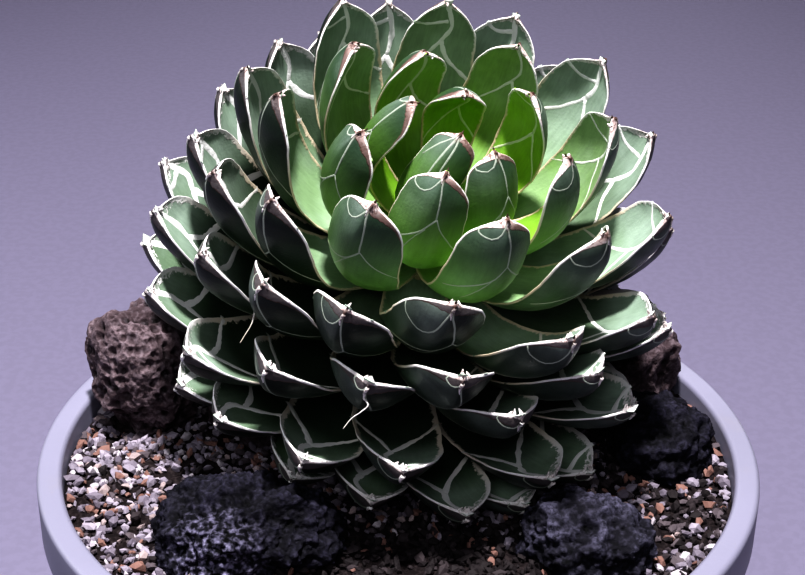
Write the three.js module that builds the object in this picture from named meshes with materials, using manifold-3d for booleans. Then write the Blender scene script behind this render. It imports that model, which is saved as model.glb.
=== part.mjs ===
// A queen victoria agave in a round pot, with grit soil and lava stones. Millimetres, +Z up.
// The origin is the middle of the pot's underside and -Y is the front, the side the photograph shows.
import * as THREE from "three";
import { mergeVertices } from "three/addons/utils/BufferGeometryUtils.js";
import Module from "manifold-3d";

const wasm = await Module();
wasm.setup();

// Driving dimensions of the pot.
const potHeight = 190;
const rimRadius = 155;
const rimWidth = 10.5;
const rimRounding = 2.4;
const rimSteps = 3;
const collarHeight = 24;
const collarEase = 1;
const kneeHeight = 160;
const wall = 7;
const footRadius = 112;
const floorThickness = 9;
const drainRadius = 6;
const drainCircle = 58;
const drainCount = 4;
const drainSides = 12;
const potSides = 44;

// Driving dimensions of the soil.
const soilDepth = 10;
const soilRings = 5;
const soilSwell = 1;
const soilSwellLengths = { x: 103, y: 119, ripple: 31 };
const rippleShare = 0.5;
const rippleSlant = 0.6;
const grainCount = 26;
const grainSize = [2.6, 4.6];
const grainShape = [1.15, 0.9, 0.75];
const grainLift = 0.2;
const grainInset = 6;
const grainInnerShare = 0.25;
const grainSeed = 20260;

// Driving dimensions of the rosette. Leaf 0 is the youngest.
const leafCount = 100;
const fullAgeLeaf = 84;
const heartCount = 39;
const backFrom = 100;
const divergence = THREE.MathUtils.degToRad(137.525);
const firstTurn = THREE.MathUtils.degToRad(219.7);
const rosetteCentre = new THREE.Vector3(12.3, 10.7, potHeight + 101.7);
const leanRight = THREE.MathUtils.degToRad(13.4);
const leanFront = THREE.MathUtils.degToRad(25.1);
const openFrom = THREE.MathUtils.degToRad(-14.4);
const openTo = THREE.MathUtils.degToRad(104.5);
const openPower = 0.4;
const reachOuter = 113;
const reachGrowth = 54;
const reachSpan = 0.164;
const tipDrop = 46;
const leafWidth = 38;
const youngWidthShare = 0.52;
const widthGrowthAge = 0.2;
const leafThickness = 8.5;
const youngThicknessShare = 0.5;
const thicknessGrowthAge = 0.35;
const cupDepth = 4.5;
const marginThickness = 1.4;
const marginShare = 0.35;
const flankPlace = 0.5;
const flankDepth = 0.72;
const flankRise = 0.25;
const tightestWrap = 12;
const widestSkew = THREE.MathUtils.degToRad(60);
const bellyMiddle = 0.185;
const bellyYoung = 0.1;
const bellySpan = 0.22;
const bellyFade = 0.045;
const soilClearance = 12.5;

// Driving dimensions of the stem, measured along the plant's own axis from the rosette centre.
const stemTop = 6;
const stemRadius = 27;
const stemTopRadius = 9;
const stemShoulder = 45;
const stemBottom = -158;
const stemSides = 12;
const stemSteps = 4;
const rootsTop = 0;
const rootsRun = 77;
const rootShare = 0.55;

// The space left between a piece and the neighbour that it is cut by or stands in.
const fit = 0.3;

// The lava stones: at is each one's place from the pot's middle, size its three radii, up how far
// its middle stands above the soil, turn and lean its degrees, and knobs the height of its lumps.
const stoneDetail = 2;
const lumpWaves = 7;
const lumpPace = 4.4;
const lumpPaceStep = 0.4;
const lumpHeight = 0.55;
const lumpFade = 0.55;
const stones = [
  {
    name: "stone_tall_left", at: [-115, 31], size: [23, 20, 34], up: 25,
    turn: 10, lean: -8, knobs: 3.4, seed: 11,
  },
  {
    name: "stone_low_left", at: [-63, 24], size: [23, 17, 17], up: 8,
    turn: -6, lean: 0, knobs: 3, seed: 12,
  },
  {
    name: "stone_front_left", at: [-61, -66], size: [38, 25, 22], up: 8,
    turn: 8, lean: 0, knobs: 3.6, seed: 20,
  },
  {
    name: "stone_front_right", at: [76, -66], size: [28, 21, 18], up: 6,
    turn: -12, lean: 0, knobs: 3, seed: 14,
  },
  {
    name: "stone_right", at: [115, 6], size: [24, 24, 20], up: 7,
    turn: 20, lean: 0, knobs: 2.6, seed: 15,
  },
  {
    name: "stone_back_right", at: [112, 54], size: [18, 14, 26], up: 16,
    turn: 0, lean: 4, knobs: 2.4, seed: 16,
  },
];

// The photograph's frame in pixels, and the viewpoint that its picture of the pot's rim gives.
const view = {
  width: 805,
  height: 575,
  focal: 1500,
  distance: 660,
  elevation: THREE.MathUtils.degToRad(32.4),
  pan: THREE.MathUtils.degToRad(-0.08),
  tilt: THREE.MathUtils.degToRad(5.8),
  roll: THREE.MathUtils.degToRad(-0.58),
};

// Where the photograph shows the tips: leaf number, then the pixel.
const seenTips = new Map([
  [0, [464, 130]], [1, [468, 97]], [2, [493, 146]], [3, [421, 102]], [4, [528, 93]],
  [5, [449, 167]], [6, [429, 53]], [7, [565, 153]], [8, [368, 128]], [9, [519, 44]],
  [10, [508, 213]], [11, [360, 42]], [12, [612, 115]], [13, [377, 199]], [14, [450, -2]],
  [15, [606, 228]], [16, [282, 91]], [17, [604, 57]], [18, [457, 300]], [19, [345, -3]],
  [20, [670, 212]], [21, [275, 195]], [22, [518, 12]], [23, [575, 335]], [24, [248, 65]],
  [25, [654, 131]], [26, [348, 306]], [27, [390, -2]], [28, [655, 312]], [29, [216, 168]], [31, [464, 375]],
  [32, [280, 38]], [33, [672, 225]], [34, [265, 280]], [36, [602, 370]], [37, [194, 132]],
  [39, [370, 380]], [41, [672, 325]], [42, [202, 250]], [44, [523, 415]], [45, [222, 84]],
  [47, [268, 365]], [49, [636, 408]], [50, [154, 207]], [52, [405, 470]],
  [55, [185, 350]], [57, [556, 478]], [58, [162, 158]], [60, [303, 460]], [63, [146, 288]],
  [65, [470, 515]], [68, [217, 418]], [70, [595, 472]], [71, [143, 238]], [73, [373, 502]],
  [76, [176, 384]], [78, [530, 505]], [81, [292, 478]],
]);

// A repeatable stream of draws between 0 and 1.
function drawer(seed) {
  let state = seed;
  return () => {
    state = (Math.imul(state, 1664525) + 1013904223) >>> 0;
    return state / 4294967296;
  };
}

function toSolid(geometry) {
  const bare = geometry.index ? geometry.toNonIndexed() : geometry.clone();
  for (const name of Object.keys(bare.attributes)) {
    if (name !== "position") {
      bare.deleteAttribute(name);
    }
  }
  const merged = mergeVertices(bare, 1e-4);
  const corners = merged.index.array;
  const kept = [];
  for (let k = 0; k < corners.length; k += 3) {
    const [a, b, c] = corners.slice(k, k + 3);
    if (a !== b && b !== c && c !== a) {
      kept.push(a, b, c);
    }
  }
  return new wasm.Manifold(
    new wasm.Mesh({
      numProp: 3,
      vertProperties: new Float32Array(merged.attributes.position.array),
      triVerts: new Uint32Array(kept),
    }),
  );
}

function toGeometry(solid) {
  const mesh = solid.getMesh();
  const geometry = new THREE.BufferGeometry();
  geometry.setAttribute("position", new THREE.BufferAttribute(mesh.vertProperties, 3));
  geometry.setIndex(new THREE.BufferAttribute(mesh.triVerts, 1));
  return geometry;
}

// The biggest body of a solid, without the scraps that a cut leaves.
function mainBody(solid) {
  const bodies = solid.decompose();
  bodies.sort((a, b) => b.volume() - a.volume());
  return bodies[0];
}

// A closed solid through equal rings of points. Each end is flat, or runs to a point.
function loft(rings, startPoint, endPoint) {
  const points = rings.flat();
  const size = rings[0].length;
  const faces = [];
  for (let ring = 0; ring + 1 < rings.length; ring += 1) {
    for (let k = 0; k < size; k += 1) {
      const a = ring * size + k;
      const b = ring * size + ((k + 1) % size);
      faces.push(a, b, b + size, a, b + size, a + size);
    }
  }
  const last = (rings.length - 1) * size;
  if (startPoint) {
    points.push(startPoint);
    for (let k = 0; k < size; k += 1) {
      faces.push((k + 1) % size, k, points.length - 1);
    }
  } else {
    for (let k = 1; k + 1 < size; k += 1) {
      faces.push(0, k + 1, k);
    }
  }
  if (endPoint) {
    points.push(endPoint);
    for (let k = 0; k < size; k += 1) {
      faces.push(last + k, last + ((k + 1) % size), points.length - 1);
    }
  } else {
    for (let k = 1; k + 1 < size; k += 1) {
      faces.push(last, last + k, last + k + 1);
    }
  }
  const geometry = new THREE.BufferGeometry();
  const flat = points.flatMap((p) => [p.x, p.y, p.z]);
  geometry.setAttribute("position", new THREE.Float32BufferAttribute(flat, 3));
  geometry.setIndex(faces);
  return geometry;
}

// A solid turned about the Z axis from a profile of radius and height that starts and ends on it.
function turned(profile, sides) {
  const geometry = new THREE.LatheGeometry(profile, sides);
  geometry.rotateX(Math.PI / 2);
  return toSolid(geometry);
}

// The plant's own frame: its axis leans to the right and to the front.
const rosette = new THREE.Group();
rosette.position.copy(rosetteCentre);
rosette.quaternion
  .setFromAxisAngle(new THREE.Vector3(1, 0, 0), leanFront)
  .multiply(new THREE.Quaternion().setFromAxisAngle(new THREE.Vector3(0, 1, 0), leanRight));
rosette.updateMatrixWorld(true);
const toWorld = rosette.matrixWorld.clone();
const toPlant = toWorld.clone().invert();

// The viewpoint's place and axes, from the middle of the rim.
function viewpointAxes() {
  const eye = new THREE.Vector3(
    0,
    -view.distance * Math.cos(view.elevation),
    view.distance * Math.sin(view.elevation),
  );
  const ahead = eye.clone().negate().normalize();
  const right = new THREE.Vector3(1, 0, 0);
  const up = new THREE.Vector3().crossVectors(right, ahead);
  ahead.applyAxisAngle(up, view.pan);
  right.applyAxisAngle(up, view.pan);
  ahead.applyAxisAngle(right, view.tilt);
  up.applyAxisAngle(right, view.tilt);
  right.applyAxisAngle(ahead, view.roll);
  up.applyAxisAngle(ahead, view.roll);
  eye.z += potHeight;
  return { eye, ahead, right, up };
}

const viewpoint = viewpointAxes();

// The line of sight through a pixel.
function sightLine([x, y]) {
  const toward = viewpoint.ahead
    .clone()
    .addScaledVector(viewpoint.right, (x - view.width / 2) / view.focal)
    .addScaledVector(viewpoint.up, (view.height / 2 - y) / view.focal)
    .normalize();
  return new THREE.Ray(viewpoint.eye.clone(), toward);
}

// The tip of a leaf in the plant's frame: the rule's place, moved to where the photograph shows it.
// A leaf that isn't seen has been taken off, and gives null, where it would lie in the soil, or where
// it is older than the oldest that is seen and isn't at the back.
function leafTip(number) {
  const age = (number + 0.5) / fullAgeLeaf;
  const opening = openFrom + (openTo - openFrom) * age ** openPower;
  const turn = firstTurn - number * divergence;
  const reach = reachOuter - reachGrowth * Math.exp(-age / reachSpan);
  const tip = new THREE.Vector3(
    reach * Math.sin(opening) * Math.cos(turn),
    reach * Math.sin(opening) * Math.sin(turn),
    reach * Math.cos(opening) - tipDrop * age,
  ).applyMatrix4(toWorld);
  const lowest = potHeight - soilDepth + soilClearance;
  const pixel = seenTips.get(number);
  if (!pixel) {
    const gone = tip.z < lowest || (number >= fullAgeLeaf && tip.y < backFrom);
    return gone ? null : tip.applyMatrix4(toPlant);
  }
  const line = sightLine(pixel);
  line.closestPointToPoint(tip, tip);
  if (tip.z < lowest) {
    tip.addScaledVector(line.direction, (lowest - tip.z) / line.direction.z);
  }
  return tip.applyMatrix4(toPlant);
}

function stemRadiusAt(height) {
  const share = THREE.MathUtils.clamp((stemTop - height) / stemShoulder, 0, 1);
  return stemTopRadius + (stemRadius - stemTopRadius) * Math.sin((share * Math.PI) / 2);
}

// Shares of the leaf's length, and there its width, thickness and cup as shares of the largest.
const stations = [
  { along: 0.03, width: 0.62, depth: 0.5, cup: 0.1 },
  { along: 0.3, width: 0.8, depth: 0.75, cup: 0.35 },
  { along: 0.6, width: 1, depth: 1, cup: 0.75 },
  { along: 0.8, width: 0.92, depth: 1.05, cup: 1 },
  { along: 0.92, width: 0.64, depth: 0.85, cup: 0.85 },
  { along: 0.975, width: 0.26, depth: 0.4, cup: 0.3 },
];

// One leaf: keeled below, hollowed above, curving up to its spine. grow thickens it all round.
function leafSolid(number, tip, grow) {
  const age = (number + 0.5) / fullAgeLeaf;
  const rootTurn = firstTurn - number * divergence;
  const rootHeight = rootsTop - rootsRun * age;
  const root = new THREE.Vector2(rootShare * stemRadiusAt(rootHeight), rootHeight);
  const tipRadius = Math.hypot(tip.x, tip.y);
  const end = new THREE.Vector2(tipRadius, tip.z);
  let tipTurn = Math.atan2(tip.y, tip.x);
  tipTurn += 2 * Math.PI * Math.round((rootTurn - tipTurn) / (2 * Math.PI));
  if (Math.abs(tipTurn - rootTurn) > widestSkew) {
    tipTurn = rootTurn;
    end.x = tip.x * Math.cos(rootTurn) + tip.y * Math.sin(rootTurn);
  }
  const span = end.clone().sub(root);
  const length = span.length();
  const below = new THREE.Vector2(span.y, -span.x).normalize();
  const middle = root.clone().add(end).multiplyScalar(0.5);
  const belly = bellyMiddle + bellyYoung * Math.exp(-((age / bellySpan) ** 2)) - bellyFade * age ** 4;
  middle.addScaledVector(below, 2 * belly * length);
  const widthGrowth = Math.min(1, Math.sqrt(age / widthGrowthAge));
  const width = (leafWidth / 2) * THREE.MathUtils.lerp(youngWidthShare, 1, widthGrowth);
  const thicknessGrowth = Math.min(1, age / thicknessGrowthAge);
  const thickness = leafThickness * THREE.MathUtils.lerp(youngThicknessShare, 1, thicknessGrowth);
  const cup = cupDepth * Math.min(1, age / widthGrowthAge);
  const rings = stations.map((station) => {
    const s = station.along;
    const path = root.clone().multiplyScalar((1 - s) ** 2)
      .addScaledVector(middle, 2 * s * (1 - s))
      .addScaledVector(end, s * s);
    const ahead = middle.clone().sub(root).multiplyScalar(1 - s)
      .addScaledVector(end.clone().sub(middle), s)
      .normalize();
    const turn = rootTurn + (tipTurn - rootTurn) * s;
    const wrap = Math.max(path.x, tightestWrap);
    const half = width * station.width;
    const deep = thickness * station.depth;
    const rise = cup * station.cup;
    const place = (across, up) => {
      const bend = turn + across / wrap;
      const out = wrap - up * ahead.y;
      return new THREE.Vector3(
        (path.x - wrap) * Math.cos(turn) + out * Math.cos(bend),
        (path.x - wrap) * Math.sin(turn) + out * Math.sin(bend),
        path.y + up * ahead.x,
      );
    };
    const edge = Math.min(marginThickness, marginShare * deep) + grow;
    const reach = half + grow;
    const flank = flankRise * rise - flankDepth * deep - grow;
    return [
      place(reach, rise + grow),
      place(0, grow),
      place(-reach, rise + grow),
      place(-reach, rise - edge),
      place(-flankPlace * half, flank),
      place(0, -deep - grow),
      place(flankPlace * half, flank),
      place(reach, rise - edge),
    ];
  });
  const apex = new THREE.Vector3(
    end.x * Math.cos(tipTurn),
    end.x * Math.sin(tipTurn),
    end.y,
  );
  return toSolid(loft(rings, null, apex));
}

// The stem between two heights on the plant's axis, grown all round by grow.
function stemSolid(bottom, top, grow) {
  const profile = [new THREE.Vector2(0, bottom)];
  for (let k = 0; k <= stemSteps; k += 1) {
    const height = bottom + ((top - bottom) * k) / stemSteps;
    profile.push(new THREE.Vector2(stemRadiusAt(height) + grow, height));
  }
  profile.push(new THREE.Vector2(0, top));
  return turned(profile, stemSides);
}

// A turned pot with a flat rim, a collar below it, and holes through its floor.
function potSolid() {
  const inner = rimRadius - rimWidth;
  const profile = [
    new THREE.Vector2(0, 0),
    new THREE.Vector2(footRadius - rimRounding, 0),
    new THREE.Vector2(footRadius, rimRounding),
    new THREE.Vector2(inner + wall, kneeHeight),
    new THREE.Vector2(inner + wall, potHeight - collarHeight),
    new THREE.Vector2(rimRadius - collarEase, potHeight - collarHeight),
    new THREE.Vector2(rimRadius, potHeight - collarHeight + collarEase),
  ];
  const corner = (x, from, to) => {
    for (let k = 0; k <= rimSteps; k += 1) {
      const angle = THREE.MathUtils.degToRad(from + ((to - from) * k) / rimSteps);
      profile.push(new THREE.Vector2(
        x + rimRounding * Math.cos(angle),
        potHeight - rimRounding + rimRounding * Math.sin(angle),
      ));
    }
  };
  corner(rimRadius - rimRounding, 0, 90);
  corner(inner + rimRounding, 90, 180);
  profile.push(
    new THREE.Vector2(inner, kneeHeight),
    new THREE.Vector2(footRadius - wall, floorThickness),
    new THREE.Vector2(0, floorThickness),
  );
  let pot = turned(profile, potSides);
  for (let k = 0; k < drainCount; k += 1) {
    const angle = (2 * Math.PI * (k + 0.5)) / drainCount;
    const depth = 3 * floorThickness;
    const drill = new THREE.CylinderGeometry(drainRadius, drainRadius, depth, drainSides);
    drill.rotateX(Math.PI / 2);
    drill.translate(drainCircle * Math.cos(angle), drainCircle * Math.sin(angle), 0);
    pot = pot.subtract(toSolid(drill));
  }
  return pot;
}

// A lava stone: an egg with lumps on it, grown all round by grow.
function stoneSolid(stone, grow) {
  const egg = new THREE.IcosahedronGeometry(1, stoneDetail);
  const place = egg.getAttribute("position");
  const spread = drawer(stone.seed);
  const waves = Array.from({ length: lumpWaves }, (_, k) => ({
    way: new THREE.Vector3(spread() - 0.5, spread() - 0.5, spread() - 0.5).normalize(),
    pace: lumpPace * (1 + lumpPaceStep * k),
    shift: 2 * Math.PI * spread(),
    height: lumpHeight / (1 + lumpFade * k),
  }));
  const turn = new THREE.Euler(
    0,
    THREE.MathUtils.degToRad(stone.lean),
    THREE.MathUtils.degToRad(stone.turn),
  );
  for (let k = 0; k < place.count; k += 1) {
    const way = new THREE.Vector3().fromBufferAttribute(place, k).normalize();
    const lump = waves.reduce(
      (sum, wave) => sum + wave.height * Math.sin(wave.pace * way.dot(wave.way) + wave.shift),
      0,
    );
    const point = new THREE.Vector3(...stone.size).multiply(way);
    point.addScaledVector(way, stone.knobs * lump + grow).applyEuler(turn);
    point.add(new THREE.Vector3(stone.at[0], stone.at[1], potHeight - soilDepth + stone.up));
    place.setXYZ(k, point.x, point.y, point.z);
  }
  return toSolid(egg);
}

// The soil: it fills the pot, swells a little, and carries the coarsest grains of the grit.
function soilSolid() {
  const inner = rimRadius - rimWidth - fit;
  const level = potHeight - soilDepth;
  const ring = (radius, height) => Array.from({ length: potSides }, (_, k) => {
    const angle = (2 * Math.PI * k) / potSides;
    const x = radius * Math.cos(angle);
    const y = radius * Math.sin(angle);
    return new THREE.Vector3(x, y, height(x, y));
  });
  const wave = (place, wavelength) => Math.sin((2 * Math.PI * place) / wavelength);
  const surface = (x, y) => level
    + soilSwell * wave(x, soilSwellLengths.x) * wave(y, soilSwellLengths.y)
    + rippleShare * soilSwell * wave(x - rippleSlant * y, soilSwellLengths.ripple);
  const rings = [
    ring(footRadius - wall - fit, () => floorThickness + fit),
    ring(inner, () => kneeHeight + fit),
  ];
  for (let k = soilRings; k >= 1; k -= 1) {
    rings.push(ring((inner * k) / soilRings, surface));
  }
  const bottom = new THREE.Vector3(0, 0, floorThickness + fit);
  const middle = new THREE.Vector3(0, 0, surface(0, 0));
  let soil = toSolid(loft(rings, bottom, middle));
  const draw = drawer(grainSeed);
  for (let k = 0; k < grainCount; k += 1) {
    const share = THREE.MathUtils.lerp(grainInnerShare, 1, draw());
    const radius = (inner - grainInset) * Math.sqrt(share);
    const angle = 2 * Math.PI * draw();
    const size = THREE.MathUtils.lerp(...grainSize, draw());
    const grain = new THREE.IcosahedronGeometry(size, 0);
    grain.scale(...grainShape);
    grain.rotateZ(Math.PI * draw());
    const x = radius * Math.cos(angle);
    const y = radius * Math.sin(angle);
    grain.translate(x, y, surface(x, y) + grainLift * size);
    soil = soil.add(toSolid(grain));
  }
  return soil;
}

// Each leaf is cut clear of the stem and of the younger leaves that press on it.
const tips = Array.from({ length: leafCount }, (_, number) => leafTip(number));
const grown = tips.map((tip, number) => number).filter((number) => tips[number]);
const leaves = new Map(grown.map((number) => [number, leafSolid(number, tips[number], 0)]));
const presses = new Map(grown.map((number) => [number, leafSolid(number, tips[number], fit)]));
const splitHeight = rootsTop - (rootsRun * heartCount) / fullAgeLeaf;
const stemCut = stemSolid(stemBottom, splitHeight, fit);
const coreCut = stemSolid(splitHeight, stemTop, fit);

function pressedLeaf(number) {
  let leaf = leaves.get(number).subtract(stemCut).subtract(coreCut);
  for (const other of grown.filter((younger) => younger < number)) {
    if (leaf.intersect(presses.get(other)).volume() > 0) {
      leaf = leaf.subtract(presses.get(other));
    }
  }
  return mainBody(leaf);
}

function heartSolid() {
  let heart = stemSolid(splitHeight, stemTop, 0);
  for (const number of grown.filter((each) => each < heartCount)) {
    heart = heart.add(leaves.get(number).subtract(stemCut));
  }
  return mainBody(heart);
}

const finish = {
  pot: new THREE.MeshStandardMaterial({ color: 0xc4c0dc, roughness: 0.45, metalness: 0 }),
  soil: new THREE.MeshStandardMaterial({ color: 0x5a4a44, roughness: 0.95, metalness: 0 }),
  stone: new THREE.MeshStandardMaterial({ color: 0x3a3136, roughness: 0.9, metalness: 0 }),
  stem: new THREE.MeshStandardMaterial({ color: 0x8a7a58, roughness: 0.8, metalness: 0 }),
  heart: new THREE.MeshStandardMaterial({ color: 0x4f8a3c, roughness: 0.5, metalness: 0 }),
  leaf: new THREE.MeshStandardMaterial({ color: 0x35593a, roughness: 0.5, metalness: 0 }),
};

function addPiece(parent, name, solid, material) {
  const mesh = new THREE.Mesh(toGeometry(solid), material);
  mesh.name = name;
  parent.add(mesh);
}

const plant = new THREE.Group();
plant.add(rosette);
addPiece(plant, "pot", potSolid(), finish.pot);
const stem = stemSolid(stemBottom, splitHeight - fit, 0);
let soil = soilSolid().subtract(stemSolid(stemBottom - fit, 0, fit).transform(toWorld.elements));
for (const stone of stones) {
  addPiece(plant, stone.name, stoneSolid(stone, 0), finish.stone);
  soil = soil.subtract(stoneSolid(stone, fit));
}
addPiece(plant, "soil", mainBody(soil), finish.soil);
addPiece(rosette, "stem", stem, finish.stem);
addPiece(rosette, "heart", heartSolid(), finish.heart);
for (const number of grown.filter((each) => each >= heartCount)) {
  const name = `leaf_${String(number).padStart(2, "0")}`;
  addPiece(rosette, name, pressedLeaf(number), finish.leaf);
}

export default plant;
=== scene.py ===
"""A potted queen victoria agave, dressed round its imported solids.

Lengths are millimetres in the solids' own frame, with -Y as the front, and METRE turns them into
Blender's units. The leaves follow the same spiral rule as the solids, so each dressed leaf stands
where its solid stands.
"""

import functools
import itertools
import logging
import math
from collections.abc import Callable, Iterable, Sequence
from dataclasses import dataclass, field
from enum import Enum

import bmesh
import bpy
import numpy as np
from mathutils import Matrix, Vector

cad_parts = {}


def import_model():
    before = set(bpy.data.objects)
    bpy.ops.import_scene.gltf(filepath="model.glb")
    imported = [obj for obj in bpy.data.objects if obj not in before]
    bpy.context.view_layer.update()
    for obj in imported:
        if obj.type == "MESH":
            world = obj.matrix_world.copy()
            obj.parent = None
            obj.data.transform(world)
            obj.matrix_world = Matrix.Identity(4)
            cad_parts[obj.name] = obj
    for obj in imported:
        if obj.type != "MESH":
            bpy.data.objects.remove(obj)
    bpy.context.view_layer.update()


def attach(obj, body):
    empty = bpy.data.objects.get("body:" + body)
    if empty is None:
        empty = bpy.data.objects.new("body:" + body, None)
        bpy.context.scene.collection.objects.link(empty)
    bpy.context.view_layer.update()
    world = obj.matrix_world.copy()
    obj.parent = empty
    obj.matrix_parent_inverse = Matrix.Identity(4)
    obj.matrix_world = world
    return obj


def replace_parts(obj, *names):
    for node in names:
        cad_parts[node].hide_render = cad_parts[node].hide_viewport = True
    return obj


Array = np.ndarray
Colour = tuple[float, float, float]
Point = tuple[float, float, float]
Span = tuple[float, float]
Socket = bpy.types.NodeSocket

METRE = 0.001
POT_HEIGHT = 190.0
SOIL_DEPTH = 10.0
SOIL_LEVEL = POT_HEIGHT - SOIL_DEPTH
UP = np.array([0.0, 0.0, 1.0])
TINY = 1e-9
FAR = 9.0
WORD = 0xFFFFFFFF
HASH_PRIMES = (374761393, 668265263, 1274126177, 974634777)
HASH_ROUNDS = ((13, 1103515245), (16, 69069))
HASH_LAST_SHIFT = 15
HASH_MASK = 0xFFFFFF
MIX_SOCKETS = (0, 6, 7)
BAND_UNEVEN = (-0.3, 2.3)

log = logging.getLogger("agave")


# ---------------------------------------------------------------- repeatable noise and curves


def cell_value(cells: Array, seed: int) -> Array:
    """A repeatable draw for each cell of a whole-numbered lattice.

    Args:
        cells: lattice places, three whole numbers each.
        seed: which of the possible lattices to read.

    Returns:
        One value from 0 to 1 for each cell.
    """
    x, y, z = (cells[..., k].astype(np.int64) for k in range(3))
    mixed = sum(part * prime for part, prime in zip((x, y, z, seed), HASH_PRIMES)) & WORD
    for shift, factor in HASH_ROUNDS:
        mixed = ((mixed ^ (mixed >> shift)) * factor) & WORD
    return ((mixed ^ (mixed >> HASH_LAST_SHIFT)) & HASH_MASK) / (HASH_MASK + 1)


def smooth_noise(points: Array, size: float, seed: int) -> Array:
    """Smooth lumps in space.

    Args:
        points: places in millimetres.
        size: width of one lump.
        seed: which of the possible patterns to read.

    Returns:
        One value from -1 to 1 for each point.
    """
    scaled = points / size
    base = np.floor(scaled).astype(np.int64)
    part = scaled - base
    part = part * part * (3 - 2 * part)
    total = np.zeros(points.shape[:-1])
    for corner in itertools.product((0, 1), repeat=3):
        weight = np.prod(np.where(np.array(corner) == 1, part, 1 - part), axis=-1)
        total += weight * cell_value(base + np.array(corner), seed)
    return 2 * total - 1


def pore_distance(points: Array, size: float, seed: int) -> Array:
    """How far each point is from the middle of the nearest pore, in cells.

    Args:
        points: places in millimetres.
        size: width of one cell, which holds one pore.
        seed: which of the possible patterns to read.

    Returns:
        One distance for each point, as a share of the cell.
    """
    scaled = points / size
    base = np.floor(scaled).astype(np.int64)
    nearest = np.full(points.shape[:-1], FAR)
    for step in itertools.product((-1, 0, 1), repeat=3):
        cell = base + np.array(step)
        middle = cell + np.stack([cell_value(cell, seed + k) for k in range(3)], axis=-1)
        nearest = np.minimum(nearest, np.linalg.norm(scaled - middle, axis=-1))
    return nearest


def curve_through(at: Array, places: Sequence[float], values: Sequence[float]) -> Array:
    """A smooth curve through given values that never swings past them.

    Args:
        at: where to read the curve.
        places: where the given values stand, rising.
        values: the given values.

    Returns:
        The curve's value at each place in at.
    """
    x, y = np.asarray(places, float), np.asarray(values, float)
    gaps = np.diff(x)
    slopes = np.diff(y) / gaps
    same_way = slopes[:-1] * slopes[1:] > 0
    both = np.where(same_way, slopes[:-1] + slopes[1:], 1.0)
    inner = np.where(same_way, 2 * slopes[:-1] * slopes[1:] / both, 0.0)
    tangents = np.concatenate([slopes[:1], inner, slopes[-1:]])
    at = np.clip(at, x[0], x[-1])
    k = np.clip(np.searchsorted(x, at, side="right") - 1, 0, len(x) - 2)
    t = (at - x[k]) / gaps[k]
    return (
        y[k] * (1 + 2 * t) * (1 - t) ** 2
        + y[k + 1] * t * t * (3 - 2 * t)
        + gaps[k] * (tangents[k] * t * (1 - t) ** 2 + tangents[k + 1] * t * t * (t - 1))
    )


def unit(vectors: Array) -> Array:
    """The vectors with their lengths made 1."""
    return vectors / np.maximum(np.linalg.norm(vectors, axis=-1, keepdims=True), TINY)


def full_turn(count: int) -> Array:
    """Evenly spread angles of one whole turn, from 0."""
    return 2 * np.pi * np.arange(count) / count


def turned_rings(radius: Array | float, angle: Array, height: Array | float) -> Array:
    """Points round the z axis.

    Args:
        radius: how far out they stand.
        angle: the way that each looks.
        height: how high they stand.

    Returns:
        The points, with the three values spread over one another.
    """
    return np.stack(np.broadcast_arrays(
        radius * np.cos(angle), radius * np.sin(angle), height), axis=-1)


def grid_faces(rows: int, columns: int, wraps: bool = True) -> Array:
    """The quads of a grid of points.

    Args:
        rows: number of rings or rows.
        columns: number of points in each.
        wraps: whether the last column joins the first.

    Returns:
        Four point numbers for each face.
    """
    row = np.arange(rows - 1)[:, None] * columns
    here = np.arange(columns if wraps else columns - 1)[None, :]
    after = (here + 1) % columns
    quads = [row + here, row + after, row + columns + after, row + columns + here]
    return np.stack(quads, axis=-1).reshape(-1, 4)


def cap_faces(first: int, columns: int, flipped: bool = False) -> Array:
    """Triangles that close a ring round its first point.

    Args:
        first: number of the ring's first point.
        columns: number of points in the ring.
        flipped: whether the faces look the other way.

    Returns:
        Three point numbers for each face.
    """
    here = np.arange(1, columns - 1)
    triangles = np.stack([np.full(columns - 2, first), first + here, first + here + 1], axis=-1)
    return triangles[:, ::-1] if flipped else triangles


def closed_tube(rings: Array) -> list[Array]:
    """The faces of rings of points joined end to end and closed at both ends.

    Args:
        rings: ring by ring, the points of a tube, with shape (rings, columns, 3).

    Returns:
        The quads of the wall and the triangles of the two ends.
    """
    rows, columns = rings.shape[:2]
    last = (rows - 1) * columns
    return [
        grid_faces(rows, columns),
        cap_faces(0, columns, flipped=True),
        cap_faces(last, columns),
    ]


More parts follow.
